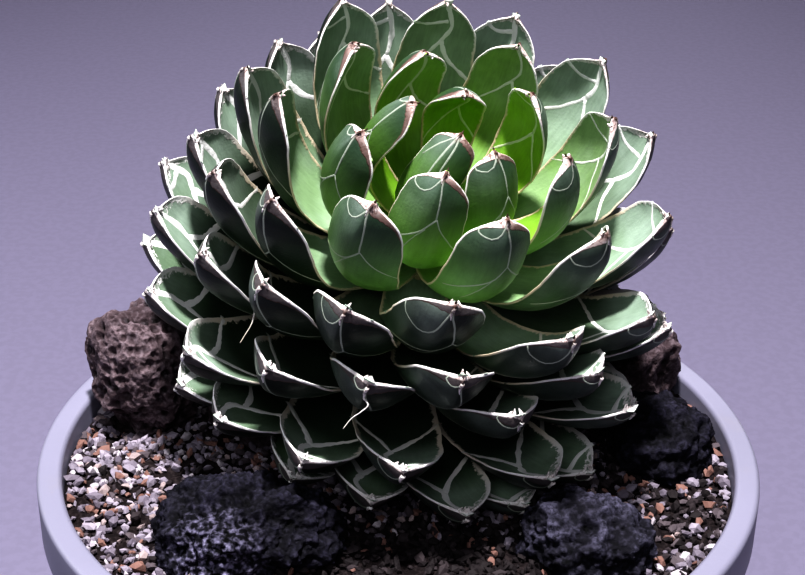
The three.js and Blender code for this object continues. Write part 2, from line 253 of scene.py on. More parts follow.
@dataclass
class MeshDraft:
    """A mesh in the making: points in millimetres, faces, and the values its finish reads."""

    points: list[Array] = field(default_factory=list)
    faces: list[Array] = field(default_factory=list)
    values: dict[str, list[Array]] = field(default_factory=dict)
    count: int = 0

    def add(self, points: Array, faces: Iterable[Array], **values: Array) -> None:
        """Adds a patch of surface.

        Args:
            points: the patch's points.
            faces: groups of faces, each with the same number of corners.
            values: named values, one number or three for each point.
        """
        flat = points.reshape(-1, 3)
        for group in faces:
            self.faces.append(group + self.count)
        for name, value in values.items():
            self.values.setdefault(name, []).append(value.reshape(len(flat), -1))
        self.points.append(flat)
        self.count += len(flat)

    def build(self, name: str, finish: bpy.types.Material, smooth: bool = True) -> bpy.types.Object:
        """Makes the Blender object.

        Args:
            name: the piece's name.
            finish: its material.
            smooth: whether its faces shade as one curved surface.

        Returns:
            The object, in the scene and riding on the one body.
        """
        mesh = bpy.data.meshes.new(name)
        places = np.concatenate(self.points) * METRE
        corners = np.concatenate([group.ravel() for group in self.faces])
        sizes = np.concatenate([np.full(len(group), group.shape[1]) for group in self.faces])
        mesh.vertices.add(len(places))
        mesh.vertices.foreach_set("co", places.astype(np.float32).ravel())
        mesh.loops.add(len(corners))
        mesh.loops.foreach_set("vertex_index", corners.astype(np.int32))
        mesh.polygons.add(len(sizes))
        starts = np.concatenate([[0], np.cumsum(sizes)[:-1]])
        mesh.polygons.foreach_set("loop_start", starts.astype(np.int32))
        mesh.polygons.foreach_set("use_smooth", np.full(len(sizes), smooth))
        mesh.update(calc_edges=True)
        for key, parts in self.values.items():
            value = np.concatenate(parts).astype(np.float32)
            kind, slot = ("FLOAT", "value") if value.shape[1] == 1 else ("FLOAT_VECTOR", "vector")
            mesh.attributes.new(key, kind, "POINT").data.foreach_set(slot, value.ravel())
        mesh.materials.append(finish)
        piece = bpy.data.objects.new(name, mesh)
        bpy.context.scene.collection.objects.link(piece)
        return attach(piece, "root")


# ---------------------------------------------------------------- finishes


class Value:
    """A number that changes over a surface, with the arithmetic that shader nodes do on it."""

    def __init__(self, sheet: "NodeSheet", socket: Socket) -> None:
        """Wraps an output of one of the sheet's nodes."""
        self.sheet, self.socket = sheet, socket

    def __add__(self, other: object) -> "Value":
        """Adds a value or a number."""
        return self.sheet.math("ADD", self, other)

    def __sub__(self, other: object) -> "Value":
        """Takes away a value or a number."""
        return self.sheet.math("SUBTRACT", self, other)

    def __rsub__(self, other: float) -> "Value":
        """Is taken away from a number."""
        return self.sheet.math("SUBTRACT", other, self)

    def __mul__(self, other: object) -> "Value":
        """Multiplies by a value or a number."""
        return self.sheet.math("MULTIPLY", self, other)

    def __truediv__(self, other: object) -> "Value":
        """Divides by a value or a number."""
        return self.sheet.math("DIVIDE", self, other)

    def __abs__(self) -> "Value":
        """Drops its sign."""
        return self.sheet.math("ABSOLUTE", self)

    def or_more(self, other: "Value") -> "Value":
        """Takes the larger of two values."""
        return self.sheet.math("MAXIMUM", self, other)

    def rises(self, span: Sequence[object]) -> "Value":
        """Goes smoothly from 0 to 1 as the value crosses a span.

        Args:
            span: its ends, as numbers or values.

        Returns:
            The new value.
        """
        made = self.sheet.node("ShaderNodeMapRange", interpolation_type="SMOOTHSTEP")
        for name, value in zip(("Value", "From Min", "From Max"), (self, *span)):
            self.sheet.feed(made.inputs[name], value)
        return Value(self.sheet, made.outputs["Result"])

    def falls(self, span: Sequence[object]) -> "Value":
        """Goes smoothly from 1 to 0 as the value crosses a span."""
        return 1.0 - self.rises(span)

    def between(self, ends: Span) -> "Value":
        """Goes from the first end to the second as the value goes from 0 to 1."""
        return self * (ends[1] - ends[0]) + ends[0]


@dataclass(frozen=True)
class Cloud:
    """Cloudy noise: its lumps to the metre, its finer layers and how strong they are."""

    scale: float | Value
    detail: float | Value
    rough: float = 0.5


@dataclass(frozen=True)
class Speckle:
    """Patches of cloudy noise, which come in as the noise crosses a span."""

    scale: float
    detail: float
    low: float
    high: float


class NodeSheet:
    """Short ways to lay out and join shader nodes."""

    def __init__(self, tree: bpy.types.NodeTree) -> None:
        """Starts on an existing node tree."""
        self.tree = tree

    def node(self, kind: str, **settings: object) -> bpy.types.Node:
        """Adds a node.

        Args:
            kind: Blender's name for it.
            settings: its properties and what they are set to.

        Returns:
            The node.
        """
        made = self.tree.nodes.new(kind)
        for name, value in settings.items():
            setattr(made, name, value)
        return made

    def feed(self, socket: Socket, value: object) -> None:
        """Joins an output to a socket, or sets the socket's own value.

        Args:
            socket: the input to fill.
            value: a value, an output socket, a number or a colour.
        """
        value = value.socket if isinstance(value, Value) else value
        if isinstance(value, bpy.types.NodeSocket):
            self.tree.links.new(value, socket)
        else:
            socket.default_value = (*value, 1.0) if isinstance(value, tuple) else value

    def math(self, operation: str, *values: object, clamp: bool = False) -> Value:
        """Does arithmetic on values that change over the surface.

        Args:
            operation: Blender's name for it.
            values: what it is done on.
            clamp: whether the result is held between 0 and 1.

        Returns:
            The result.
        """
        made = self.node("ShaderNodeMath", operation=operation, use_clamp=clamp)
        for socket, value in zip(made.inputs, values):
            self.feed(socket, value)
        return Value(self, made.outputs[0])

    def mix(self, share: object, first: object, second: object) -> Socket:
        """Mixes two colours.

        Args:
            share: how much of the second is in the mix, from 0 to 1.
            first: a colour, or the output of another mix.
            second: the same.

        Returns:
            The mixed colour.
        """
        made = self.node("ShaderNodeMix", data_type="RGBA")
        for place, value in zip(MIX_SOCKETS, (share, first, second)):
            self.feed(made.inputs[place], value)
        return made.outputs[2]

    def scaled(self, colour: Socket, share: Value) -> Socket:
        """Makes a colour darker or lighter by a share that changes over the surface.

        Args:
            colour: the colour to change.
            share: what it is multiplied by.

        Returns:
            The changed colour.
        """
        made = self.node("ShaderNodeVectorMath", operation="SCALE")
        self.feed(made.inputs[0], colour)
        self.feed(made.inputs["Scale"], share)
        return made.outputs[0]

    def split(self, name: str) -> tuple[Value, ...]:
        """Reads the three parts of a value that the mesh carries.

        Args:
            name: what the value is called.

        Returns:
            Its parts.
        """
        parts = self.node("ShaderNodeSeparateXYZ")
        read = self.node("ShaderNodeAttribute", attribute_name=name)
        self.feed(parts.inputs[0], read.outputs["Vector"])
        return tuple(Value(self, part) for part in parts.outputs)

    def single(self, name: str) -> Value:
        """Reads a number that the mesh carries."""
        return Value(self, self.node("ShaderNodeAttribute", attribute_name=name).outputs["Fac"])

    def noise(self, cloud: Cloud, place: Socket | None = None) -> Value:
        """Cloudy noise.

        Args:
            cloud: what the noise is like.
            place: where it is read, or None for the point's own place on the piece, in metres.

        Returns:
            A value from 0 to 1.
        """
        made = self.node("ShaderNodeTexNoise")
        own = self.node("ShaderNodeTexCoord").outputs["Object"]
        for name, value in (("Vector", place or own), ("Scale", cloud.scale),
                            ("Detail", cloud.detail), ("Roughness", cloud.rough)):
            self.feed(made.inputs[name], value)
        return Value(self, made.outputs["Fac"])

    def group(self, tree: bpy.types.NodeTree, **values: object) -> tuple[Value, ...]:
        """Places a shared effect with its own values.

        Args:
            tree: the effect.
            values: what its named inputs get.

        Returns:
            Its outputs.
        """
        made = self.node("ShaderNodeGroup", node_tree=tree)
        for name, value in values.items():
            self.feed(made.inputs[name], value)
        return tuple(Value(self, output) for output in made.outputs)

    def speckle(self, patches: Speckle) -> Value:
        """Places the shared speckle, which is 1 in its patches."""
        return self.group(speckle_group(), Scale=patches.scale, Detail=patches.detail,
                          Low=patches.low, High=patches.high)[0]


class FinishSheet(NodeSheet):
    """A material with one Principled shader, laid out by the finish that uses it."""

    def __init__(self, name: str) -> None:
        """Makes an empty material.

        Args:
            name: what the material is called.
        """
        self.material = bpy.data.materials.new(name)
        self.material.use_nodes = True
        super().__init__(self.material.node_tree)
        self.shader = self.tree.nodes["Principled BSDF"]

    def finish(self, colour: object, roughness: object, height: Value | None = None,
               relief: float = 0.0, strength: float = 1.0,
               specular: float | None = None) -> bpy.types.Material:
        """Feeds the shader.

        Args:
            colour: the base colour.
            roughness: how matt the surface is.
            height: the fine relief, from 0 to 1, or None for a surface without any.
            relief: how high a height of 1 stands, in millimetres.
            strength: how strongly the relief shades.
            specular: the shader's specular level, or None for its usual one.

        Returns:
            The finished material.
        """
        self.feed(self.shader.inputs["Base Color"], colour)
        self.feed(self.shader.inputs["Roughness"], roughness)
        if specular is not None:
            self.shader.inputs["Specular IOR Level"].default_value = specular
        if height is not None:
            bump = self.node("ShaderNodeBump")
            bump.inputs["Strength"].default_value = strength
            bump.inputs["Distance"].default_value = relief * METRE
            self.feed(bump.inputs["Height"], height)
            self.feed(self.shader.inputs["Normal"], bump.outputs["Normal"])
        return self.material


class SharedEffect:
    """A shader node group with named inputs and outputs, laid out once for all materials."""

    def __init__(self, name: str, inputs: dict[str, float], outputs: Sequence[str]) -> None:
        """Makes the group.

        Args:
            name: what it is called.
            inputs: its named inputs and their usual values.
            outputs: its named outputs.
        """
        self.tree = bpy.data.node_groups.new(name, "ShaderNodeTree")
        for way, keys in (("INPUT", inputs), ("OUTPUT", outputs)):
            for key in keys:
                self.tree.interface.new_socket(key, in_out=way, socket_type="NodeSocketFloat")
        self.sheet = NodeSheet(self.tree)
        self.source = self.sheet.node("NodeGroupInput")
        self.drain = self.sheet.node("NodeGroupOutput")
        for item in self.tree.interface.items_tree:
            if item.in_out == "INPUT":
                item.default_value = inputs[item.name]

    def read(self, *names: str) -> list[Value]:
        """Reads some of the group's inputs."""
        return [Value(self.sheet, self.source.outputs[name]) for name in names]

    def put(self, name: str, value: Value) -> None:
        """Feeds one of the group's outputs."""
        self.sheet.feed(self.drain.inputs[name], value)


@functools.cache
def speckle_group() -> bpy.types.NodeTree:
    """The shared speckle: a mask of cloudy noise with chosen edges.

    Returns:
        The effect, with inputs Scale, Detail, Low and High, and output Mask.
    """
    effect = SharedEffect(
        "speckle", {"Scale": 200.0, "Detail": 4.0, "Low": 0.4, "High": 0.6}, ["Mask"])
    scale, detail, low, high = effect.read("Scale", "Detail", "Low", "High")
    effect.put("Mask", effect.sheet.noise(Cloud(scale, detail)).rises((low, high)))
    return effect.tree


@functools.cache
def band_group() -> bpy.types.NodeTree:
    """The shared horn band: how far inside a leaf's horny margin a point is.

    The band is Width wide along the side and Extra wider at the tip, over the length Reach. It is
    wider and narrower by turns as Wobble goes from 0 to 1.

    Returns:
        The effect, with outputs Band, which is 1 in the horn, and Outline, which is 1 on its brink.
    """
    effect = SharedEffect("horn_band", {
        "Edge": 0.0, "Down": 0.0, "Across": 0.0, "Wobble": 0.5, "Width": 1.0, "Extra": 3.0,
        "Reach": 8.0, "Softness": 0.25, "Line": 0.3,
    }, ["Band", "Outline"])
    edge, down, across, wobble, width, extra, reach, soft, line = effect.read(
        "Edge", "Down", "Across", "Wobble", "Width", "Extra", "Reach", "Softness", "Line")
    far = (down * down + across * across) / (reach * reach)
    fade = effect.sheet.math("POWER", math.e, far * -1.0)
    inside = (extra * fade + width) * wobble.between(BAND_UNEVEN) - edge
    effect.put("Band", inside.rises((soft * -1.0, soft)))
    effect.put("Outline", abs(inside).falls((0.0, line)))
    return effect.tree


@dataclass(frozen=True)
class LeafPoint:
    """What a leaf's mesh tells its finish at each point, with lengths in millimetres."""

    across: Value
    down: Value
    edge: Value
    age: Value
    draw: Value
    upper: Value
    mark: Value
    horn: Value
    spine: Value

    @classmethod
    def read(cls, sheet: NodeSheet) -> "LeafPoint":
        """Reads the values blade, kind and trim, each with three parts."""
        return cls(*sheet.split("blade"), *sheet.split("kind"), *sheet.split("trim"))

    def by_face(self, lower: Value, upper: Value) -> Value:
        """Takes one value on the lower face and another on the upper one."""
        return (upper - lower) * self.upper + lower


@dataclass(frozen=True)
class HornBand:
    """A leaf's horny margin on one face: its millimetres, and how age and the keel change them."""

    width: float
    extra: float
    reach: float
    lop: float
    ageing: float
    softness: float
    ageing_reach: float = 0.4
    line: float = 0.4

    def lay(self, sheet: NodeSheet, at: LeafPoint, wobble: Value, grown: Value,
            lopsided: Value) -> tuple[Value, ...]:
        """Places the shared horn band.

        Args:
            sheet: the material's sheet.
            at: what the mesh tells.
            wobble: the noise that makes the band uneven.
            grown: 0 on a young leaf and 1 on an old one.
            lopsided: 1 where the band reaches further down.

        Returns:
            The band and its outline.
        """
        aged = grown * self.ageing + 1.0
        reach = lopsided * (self.lop * self.reach) + (
            grown * (self.ageing_reach * self.reach) + self.reach)
        return sheet.group(
            band_group(), Edge=at.edge, Down=at.down, Across=at.across, Wobble=wobble,
            Width=aged * self.width, Extra=aged * self.extra, Reach=reach,
            Softness=self.softness, Line=self.line)


@dataclass(frozen=True)
class LeafFinish:
    """The skin of a leaf: waxy green panels between white lines, with a horny margin and tip.

    A reach is a span of millimetres down from the tip, and ages go from 0 to 1.
    """

    name: str
    back_green: Colour
    back_tip: Colour
    back_base: Colour
    front_green: Colour
    front_base: Colour
    back_young: Colour
    front_young: Colour
    # Near-black greens for the lower faces of old leaves: painted shade.
    back_grown_painted_shade: Colour = (0.0065, 0.0155, 0.0075)
    tip_grown_painted_shade: Colour = (0.0035, 0.0070, 0.0048)
    base_grown_painted_shade: Colour = (0.022, 0.044, 0.012)
    # Darker green for the oldest leaves' upper faces: painted shade.
    front_old_painted_shade: Colour = (0.090, 0.150, 0.075)
    # Near-black green on older upper faces away from the tip: painted shade.
    front_painted_shade: Colour = (0.010, 0.022, 0.009)
    bloom: Colour = (0.46, 0.55, 0.51)
    white: Colour = (0.84, 0.83, 0.84)
    tan: Colour = (0.52, 0.40, 0.24)
    rose: Colour = (0.52, 0.345, 0.32)
    # Umber and mauve darken the lower face's horn band: painted shade.
    umber_painted_shade: Colour = (0.105, 0.062, 0.054)
    mauve_painted_shade: Colour = (0.042, 0.035, 0.039)
    brown: Colour = (0.085, 0.040, 0.030)
    line: Colour = (0.33, 0.365, 0.315)
    spine: Colour = (0.045, 0.022, 0.016)
    older_ages: Span = (0.02, 0.22)
    grown_ages: Span = (0.05, 0.6)
    hooded_ages: Span = (0.155, 0.205)
    base_reach: Span = (18.0, 62.0)
    base_by_age: Span = (1.0, 0.25)
    tip_reach: Span = (3.0, 30.0)
    shoulder_reach: Span = (4.0, 44.0)
    old_painted_shade_ages: Span = (0.55, 0.95)
    old_painted_shade_share: float = 0.8
    painted_shade_reach: Span = (15.0, 42.0)
    painted_shade_ages: Span = (0.2, 0.42)
    painted_shade_share: float = 0.92
    wax: Cloud = Cloud(45.0, 3.0)
    wax_patches: Span = (0.36, 0.70)
    wax_behind: Span = (0.4, 1.0)
    wax_by_age: Span = (0.2, 1.0)
    # Extra pale bloom on the left side of the lower face: painted light.
    painted_light_side: Span = (-4.0, 3.0)
    bloom_and_painted_light_shares: tuple[float, float, float] = (0.6, 0.3, 0.1)
    back_bloom_and_painted_light: float = 0.22
    front_bloom: float = 0.28
    fibre: Cloud = Cloud(1.0, 3.0, 0.6)
    fibre_grain: tuple[float, float, float] = (0.85, 0.10, 60.0)
    mottle: Cloud = Cloud(110.0, 4.0)
    mottle_shade: Span = (0.42, 0.92)
    draw_shade: float = 0.24
    fibre_shade: float = 0.45
    crinkle: Cloud = Cloud(420.0, 3.0, 0.6)
    calm: Span = (0.325, 0.675)
    keel: Span = (-1.5, 1.5)
    back_band: HornBand = HornBand(0.34, 4.6, 7.0, lop=0.55, ageing=0.25, softness=0.2)
    front_band: HornBand = HornBand(0.75, 3.2, 8.5, lop=0.2, ageing=1.9, softness=0.4)
    front_outline: float = 0.15
    outline_reach: Span = (6.0, 20.0)
    outline_share: float = 0.75
    # Where the lower face's horn band gets painted shade.
    band_painted_shade_edge: Span = (0.08, 0.42)
    band_painted_shade_reach: Span = (1.5, 6.0)
    band_painted_shade_share: float = 0.96
    line_share: float = 0.95
    line_tan_reach: Span = (26.0, 60.0)
    line_tan: float = 0.55
    spine_share: Span = (0.2, 0.75)
    veins: Cloud = Cloud(300.0, 2.0)
    lace_hole: Span = (0.035, 0.075)
    lace_edge: Span = (1.3, 2.8)
    lace_share: float = 0.8
    wedge_across: Span = (0.25, 1.0)
    wedge_reach: Span = (3.0, 7.5)
    tan_reach: Span = (8.0, 36.0)
    tan_by_age: Span = (0.9, 0.4)
    rose_reach: Span = (1.5, 13.0)
    rose_cloud: Cloud = Cloud(260.0, 4.0, 0.62)
    rose_patches: Span = (0.30, 0.52)
    rose_by_face: Span = (0.95, 0.40)
    rose_by_age: Span = (1.0, 0.25)
    speck_cloud: Cloud = Cloud(700.0, 3.0)
    speck_span: Span = (0.60, 0.70)
    speck_share: float = 0.7
    crack_cloud: Cloud = Cloud(230.0, 2.0)
    crack_span: Span = (0.006, 0.030)
    crack_by_age: Span = (0.95, 0.35)
    sheen: Cloud = Cloud(180.0, 2.0)
    roughness: Span = (0.36, 0.48)
    dull: float = 0.14
    pores: Cloud = Cloud(900.0, 3.0, 0.6)
    crinkle_height: float = 2.2

    def make(self) -> bpy.types.Material:
        """Lays out the finish.

        Returns:
            The material, which reads the values blade, kind and trim of a leaf's mesh.
        """
        sheet = FinishSheet(self.name)
        at = LeafPoint.read(sheet)
        grown = at.age.rises(self.grown_ages)
        hooded = at.age.rises(self.hooded_ages)
        right = at.across.rises(self.keel)
        crinkle = sheet.noise(self.crinkle)
        lopsided = right * (1.0 - grown)
        back, back_brink = self.back_band.lay(
            sheet, at, crinkle.between(self.calm), grown, lopsided)
        front, front_brink = self.front_band.lay(sheet, at, crinkle, grown, lopsided)
        band = at.by_face(back, front * self.lace(sheet, at, grown))
        outline = at.by_face(back_brink, front_brink * self.front_outline)
        horn = self.horn_tone(sheet, at)
        # Lower-face horn band: old leaves and young tips' right side go dark: painted shade.
        band_painted_shade = hooded.or_more(right * at.down.rises(self.band_painted_shade_reach))
        band_painted_shade = at.edge.rises(self.band_painted_shade_edge) * (1.0 - at.upper) * band_painted_shade * self.band_painted_shade_share
        band_painted_shade_tone = sheet.mix(band_painted_shade, horn, sheet.mix(hooded, self.umber_painted_shade, self.mauve_painted_shade))
        colour = self.skin(sheet, at, hooded)
        for share, layer in (
            (at.mark * self.line_share, self.line_tone(sheet, at)),
            (band, band_painted_shade_tone),
            (outline * at.down.falls(self.outline_reach) * self.outline_share, self.brown),
            (self.wedge(at, grown), self.brown),
            (at.horn, horn),
            (at.spine.rises(self.spine_share), self.spine),
        ):
            colour = sheet.mix(share, colour, layer)
        dull = band.or_more(at.horn).or_more(at.mark)
        roughness = dull * self.dull + sheet.noise(self.sheen).between(self.roughness)
        height = crinkle * dull * self.crinkle_height + sheet.noise(self.pores)
        return sheet.finish(colour, roughness, height, relief=0.2, strength=0.6, specular=0.26)

    def wedge(self, at: LeafPoint, grown: Value) -> Value:
        """The dark wedge between the two pale flanks of a young tip's horn."""
        narrow = abs(at.across).falls(self.wedge_across) * at.down.falls(self.wedge_reach)
        return narrow * ((1.0 - grown) * (1.0 - at.upper))

    def lace(self, sheet: NodeSheet, at: LeafPoint, grown: Value) -> Value:
        """The small holes in an old leaf's white cap, where it is less than 1.

        Args:
            sheet: the material's sheet.
            at: what the mesh tells.
            grown: 0 on a young leaf and 1 on an old one.

        Returns:
            1 where the cap is whole, and less in its holes.
        """
        vein = abs(sheet.noise(self.veins) - 0.5)
        hole = vein.rises(self.lace_hole) * at.edge.rises(self.lace_edge)
        return 1.0 - hole * grown * self.lace_share

    def skin(self, sheet: NodeSheet, at: LeafPoint, hooded: Value) -> Socket:
        """The green of the two faces, before any line or band is drawn.

        Args:
            sheet: the material's sheet.
            at: what the mesh tells.
            hooded: 1 on an old leaf, whose lower face gets near-black painted shade.

        Returns:
            The colour.
        """
        toward_base = at.down.rises(self.base_reach)
        near_tip = at.down.falls(self.tip_reach)
        older = at.age.rises(self.older_ages)
        wax = sheet.noise(self.wax).rises(self.wax_patches)
        back = sheet.mix(older, self.back_young, self.back_green)
        back = sheet.mix(toward_base, back, self.back_base)
        back = sheet.mix(at.down.falls(self.shoulder_reach), back, self.back_tip)
        # Old leaves' lower faces turn near black, darkest at the tip: painted shade.
        grown = sheet.mix(toward_base, self.back_grown_painted_shade, self.base_grown_painted_shade)
        back = sheet.mix(hooded, back, sheet.mix(near_tip, grown, self.tip_grown_painted_shade))
        # The lower face's left side gets extra pale bloom, most near the tip: painted light over
        # real wax.
        left = at.across.falls(self.painted_light_side)
        at_tip, all_down, everywhere = self.bloom_and_painted_light_shares
        left = left * near_tip * at_tip + (left * all_down + everywhere)
        back = sheet.mix(wax.between(self.wax_behind) * left * self.back_bloom_and_painted_light, back, self.bloom)
        front = sheet.mix(older, self.front_young, self.front_green)
        # Older upper faces turn near black away from the tip: painted shade.
        painted_shade = at.down.rises(self.painted_shade_reach) * at.age.rises(self.painted_shade_ages)
        for share, layer in (
            (toward_base * older.between(self.base_by_age), self.front_base),
            # The oldest leaves' upper faces are darkened: painted shade.
            (at.age.rises(self.old_painted_shade_ages) * self.old_painted_shade_share, self.front_old_painted_shade),
            (wax * older.between(self.wax_by_age) * self.front_bloom, self.bloom),
            (painted_shade * self.painted_shade_share, self.front_painted_shade),
        ):
            front = sheet.mix(share, front, layer)
        shade = at.draw * self.draw_shade + sheet.noise(self.mottle).between(self.mottle_shade)
        streak = sheet.noise(self.fibre, self.grain(sheet, at))
        return sheet.scaled(sheet.mix(at.upper, back, front), streak * self.fibre_shade + shade)

    def grain(self, sheet: NodeSheet, at: LeafPoint) -> Socket:
        """A place on the leaf in which noise is drawn out lengthwise into fibres.

        Args:
            sheet: the material's sheet.
            at: what the mesh tells.

        Returns:
            The place.
        """
        place = sheet.node("ShaderNodeCombineXYZ")
        for socket, part, share in zip(place.inputs, (at.across, at.down, at.draw),
                                       self.fibre_grain):
            sheet.feed(socket, part * share)
        return place.outputs[0]

    def horn_tone(self, sheet: NodeSheet, at: LeafPoint) -> Socket:
        """The horn's colour: white, tan toward the base, and rose and brown beside the tip.

        Args:
            sheet: the material's sheet.
            at: what the mesh tells.

        Returns:
            The colour.
        """
        toward_base = at.down.rises(self.tan_reach) * at.age.between(self.tan_by_age)
        tone = sheet.mix(toward_base, self.white, self.tan)
        near_tip = at.down.falls(self.rose_reach)
        rosy = near_tip * sheet.noise(self.rose_cloud).rises(self.rose_patches)
        rosy = rosy * at.upper.between(self.rose_by_face) * at.age.between(self.rose_by_age)
        tone = sheet.mix(rosy, tone, self.rose)
        specks = near_tip * sheet.noise(self.speck_cloud).rises(self.speck_span)
        crack = abs(sheet.noise(self.crack_cloud) - 0.5).falls(self.crack_span)
        crack = crack * (near_tip * at.age.between(self.crack_by_age))
        return sheet.mix((specks * self.speck_share).or_more(crack), tone, self.brown)

    def line_tone(self, sheet: NodeSheet, at: LeafPoint) -> Socket:
        """The colour of the drawn lines: greyer behind, white in front and tan near the base."""
        tone = sheet.mix(at.upper, self.line, self.white)
        return sheet.mix(at.down.rises(self.line_tan_reach) * self.line_tan, tone, self.tan)


@dataclass(frozen=True)
class StoneFinish:
    """Porous lava: painted shade in its pores, paler crests, dust and a painted highlight."""

    name: str
    pore_painted_shade: Colour
    body: Colour
    crest: Colour
    dust: Colour
    dust_share: float
    dusted_share: float = 0.8
    cloud: Cloud = Cloud(70.0, 4.0)
    fine: Cloud = Cloud(650.0, 5.0, 0.65)
    dust_and_painted_highlight_speckle: Speckle = Speckle(420.0, 5.0, 0.42, 0.80)
    body_relief: Span = (0.15, 0.55)
    crest_relief: Span = (0.50, 0.95)
    crest_grain: Span = (0.35, 0.65)
    roughness: Span = (0.62, 0.92)

    def make(self) -> bpy.types.Material:
        """Lays out the finish.

        Returns:
            The material, which reads a stone mesh's relief and the share of its painted highlight.
        """
        sheet = FinishSheet(self.name)
        relief, dusted = sheet.single("relief"), sheet.single("dusted")
        fine = sheet.noise(self.fine)
        # The pores and hollows are darkened: painted shade.
        colour = sheet.mix(relief.rises(self.body_relief), self.pore_painted_shade, self.body)
        high = relief.rises(self.crest_relief) * fine.rises(self.crest_grain)
        colour = sheet.mix(high, colour, self.crest)
        # Random dust patches, plus a painted highlight where the mesh marks the stone as lit.
        dust_and_painted_highlight = dusted * self.dusted_share + sheet.noise(self.cloud) * (2 * self.dust_share)
        dust_and_painted_highlight_mask = sheet.math("MULTIPLY", sheet.speckle(self.dust_and_painted_highlight_speckle), dust_and_painted_highlight, clamp=True)
        colour = sheet.mix(dust_and_painted_highlight_mask, colour, self.dust)
        return sheet.finish(colour, fine.between(self.roughness), fine,
                            relief=0.8, strength=0.9, specular=0.12)


@dataclass(frozen=True)
class GritFinish:
    """Mixed mineral grit: each grain has one colour, drawn from a few kinds."""

    name: str = "grit"
    worn: Colour = (0.055, 0.042, 0.045)
    worn_share: float = 0.45
    wear: Cloud = Cloud(800.0, 4.0, 0.6)
    roughness: Span = (0.62, 0.87)
    kinds: tuple[tuple[float, Colour], ...] = (
        (0.00, (0.010, 0.008, 0.010)),
        (0.05, (0.038, 0.030, 0.035)),
        (0.13, (0.105, 0.086, 0.100)),
        (0.30, (0.195, 0.168, 0.215)),
        (0.48, (0.300, 0.265, 0.330)),
        (0.66, (0.385, 0.340, 0.415)),
        (0.80, (0.245, 0.136, 0.116)),
        (0.86, (0.420, 0.335, 0.345)),
        (0.92, (0.540, 0.490, 0.550)),
    )

    def make(self) -> bpy.types.Material:
        """Lays out the finish.

        Returns:
            The material, which reads the value pick of each grain.
        """
        sheet = FinishSheet(self.name)
        ramp = sheet.node("ShaderNodeValToRGB")
        ramp.color_ramp.interpolation = "CONSTANT"
        stops = ramp.color_ramp.elements
        while len(stops) < len(self.kinds):
            stops.new(0.5)
        for stop, (share, colour) in zip(stops, self.kinds):
            stop.position = share
            stop.color = (*colour, 1)
        sheet.feed(ramp.inputs["Fac"], sheet.single("pick"))
        worn = sheet.noise(self.wear)
        colour = sheet.mix(worn * self.worn_share, ramp.outputs["Color"], self.worn)
        return sheet.finish(colour, worn.between(self.roughness), worn,
                            relief=0.4, strength=0.7, specular=0.2)


@dataclass(frozen=True)
class SoilFinish:
    """The fine dark stuff that lies between the grains."""

    name: str = "soil"
    dark: Colour = (0.012, 0.009, 0.010)
    pale: Colour = (0.042, 0.032, 0.034)
    crumbs: Cloud = Cloud(420.0, 5.0, 0.7)
    pale_crumbs: Span = (0.42, 0.72)

    def make(self) -> bpy.types.Material:
        """Lays out the finish.

        Returns:
            The material.
        """
        sheet = FinishSheet(self.name)
        crumbs = sheet.noise(self.crumbs)
        colour = sheet.mix(crumbs.rises(self.pale_crumbs), self.dark, self.pale)
        return sheet.finish(colour, 0.9, crumbs, relief=1.2, strength=0.9, specular=0.08)


@dataclass(frozen=True)
class PotFinish:
    """Smooth pale lilac-grey stoneware, with faint clouds, fine specks and splashed grit dust."""

    name: str = "pot"
    clay: Colour = (0.214, 0.206, 0.282)
    shade: Colour = (0.192, 0.186, 0.254)
    dust: Colour = (0.22, 0.20, 0.22)
    clouds: Speckle = Speckle(14.0, 4.0, 0.36, 0.70)
    specks: Speckle = Speckle(900.0, 2.0, 0.66, 0.72)
    speck_share: float = 0.35
    smudges: Speckle = Speckle(38.0, 5.0, 0.60, 0.76)
    smudge_share: float = 0.22
    fine: Cloud = Cloud(500.0, 4.0)
    roughness: Span = (0.42, 0.54)

    def make(self) -> bpy.types.Material:
        """Lays out the finish.

        Returns:
            The material.
        """
        sheet = FinishSheet(self.name)
        cloud = sheet.speckle(self.clouds)
        colour = sheet.mix(cloud, self.clay, self.shade)
        for patches, share in ((self.specks, self.speck_share),
                               (self.smudges, self.smudge_share)):
            colour = sheet.mix(sheet.speckle(patches) * share, colour, self.dust)
        return sheet.finish(colour, cloud.between(self.roughness), sheet.noise(self.fine),
                            relief=0.15, strength=0.35)


@dataclass(frozen=True)
class StemFinish:
    """The short stem with its dry leaf scars."""

    name: str = "stem"
    scar: Colour = (0.20, 0.14, 0.08)
    fibre: Colour = (0.44, 0.36, 0.22)
    strands: Cloud = Cloud(300.0, 5.0, 0.7)
    relief_share: float = 0.6
    fibre_span: Span = (0.4, 1.0)

    def make(self) -> bpy.types.Material:
        """Lays out the finish.

        Returns:
            The material, which reads the value relief of the stem's mesh.
        """
        sheet = FinishSheet(self.name)
        strands = sheet.noise(self.strands)
        share = sheet.single("relief") * self.relief_share + strands
        colour = sheet.mix(share.rises(self.fibre_span), self.scar, self.fibre)
        return sheet.finish(colour, 0.85, strands, relief=0.8, strength=0.8)


# ---------------------------------------------------------------- viewpoint and light


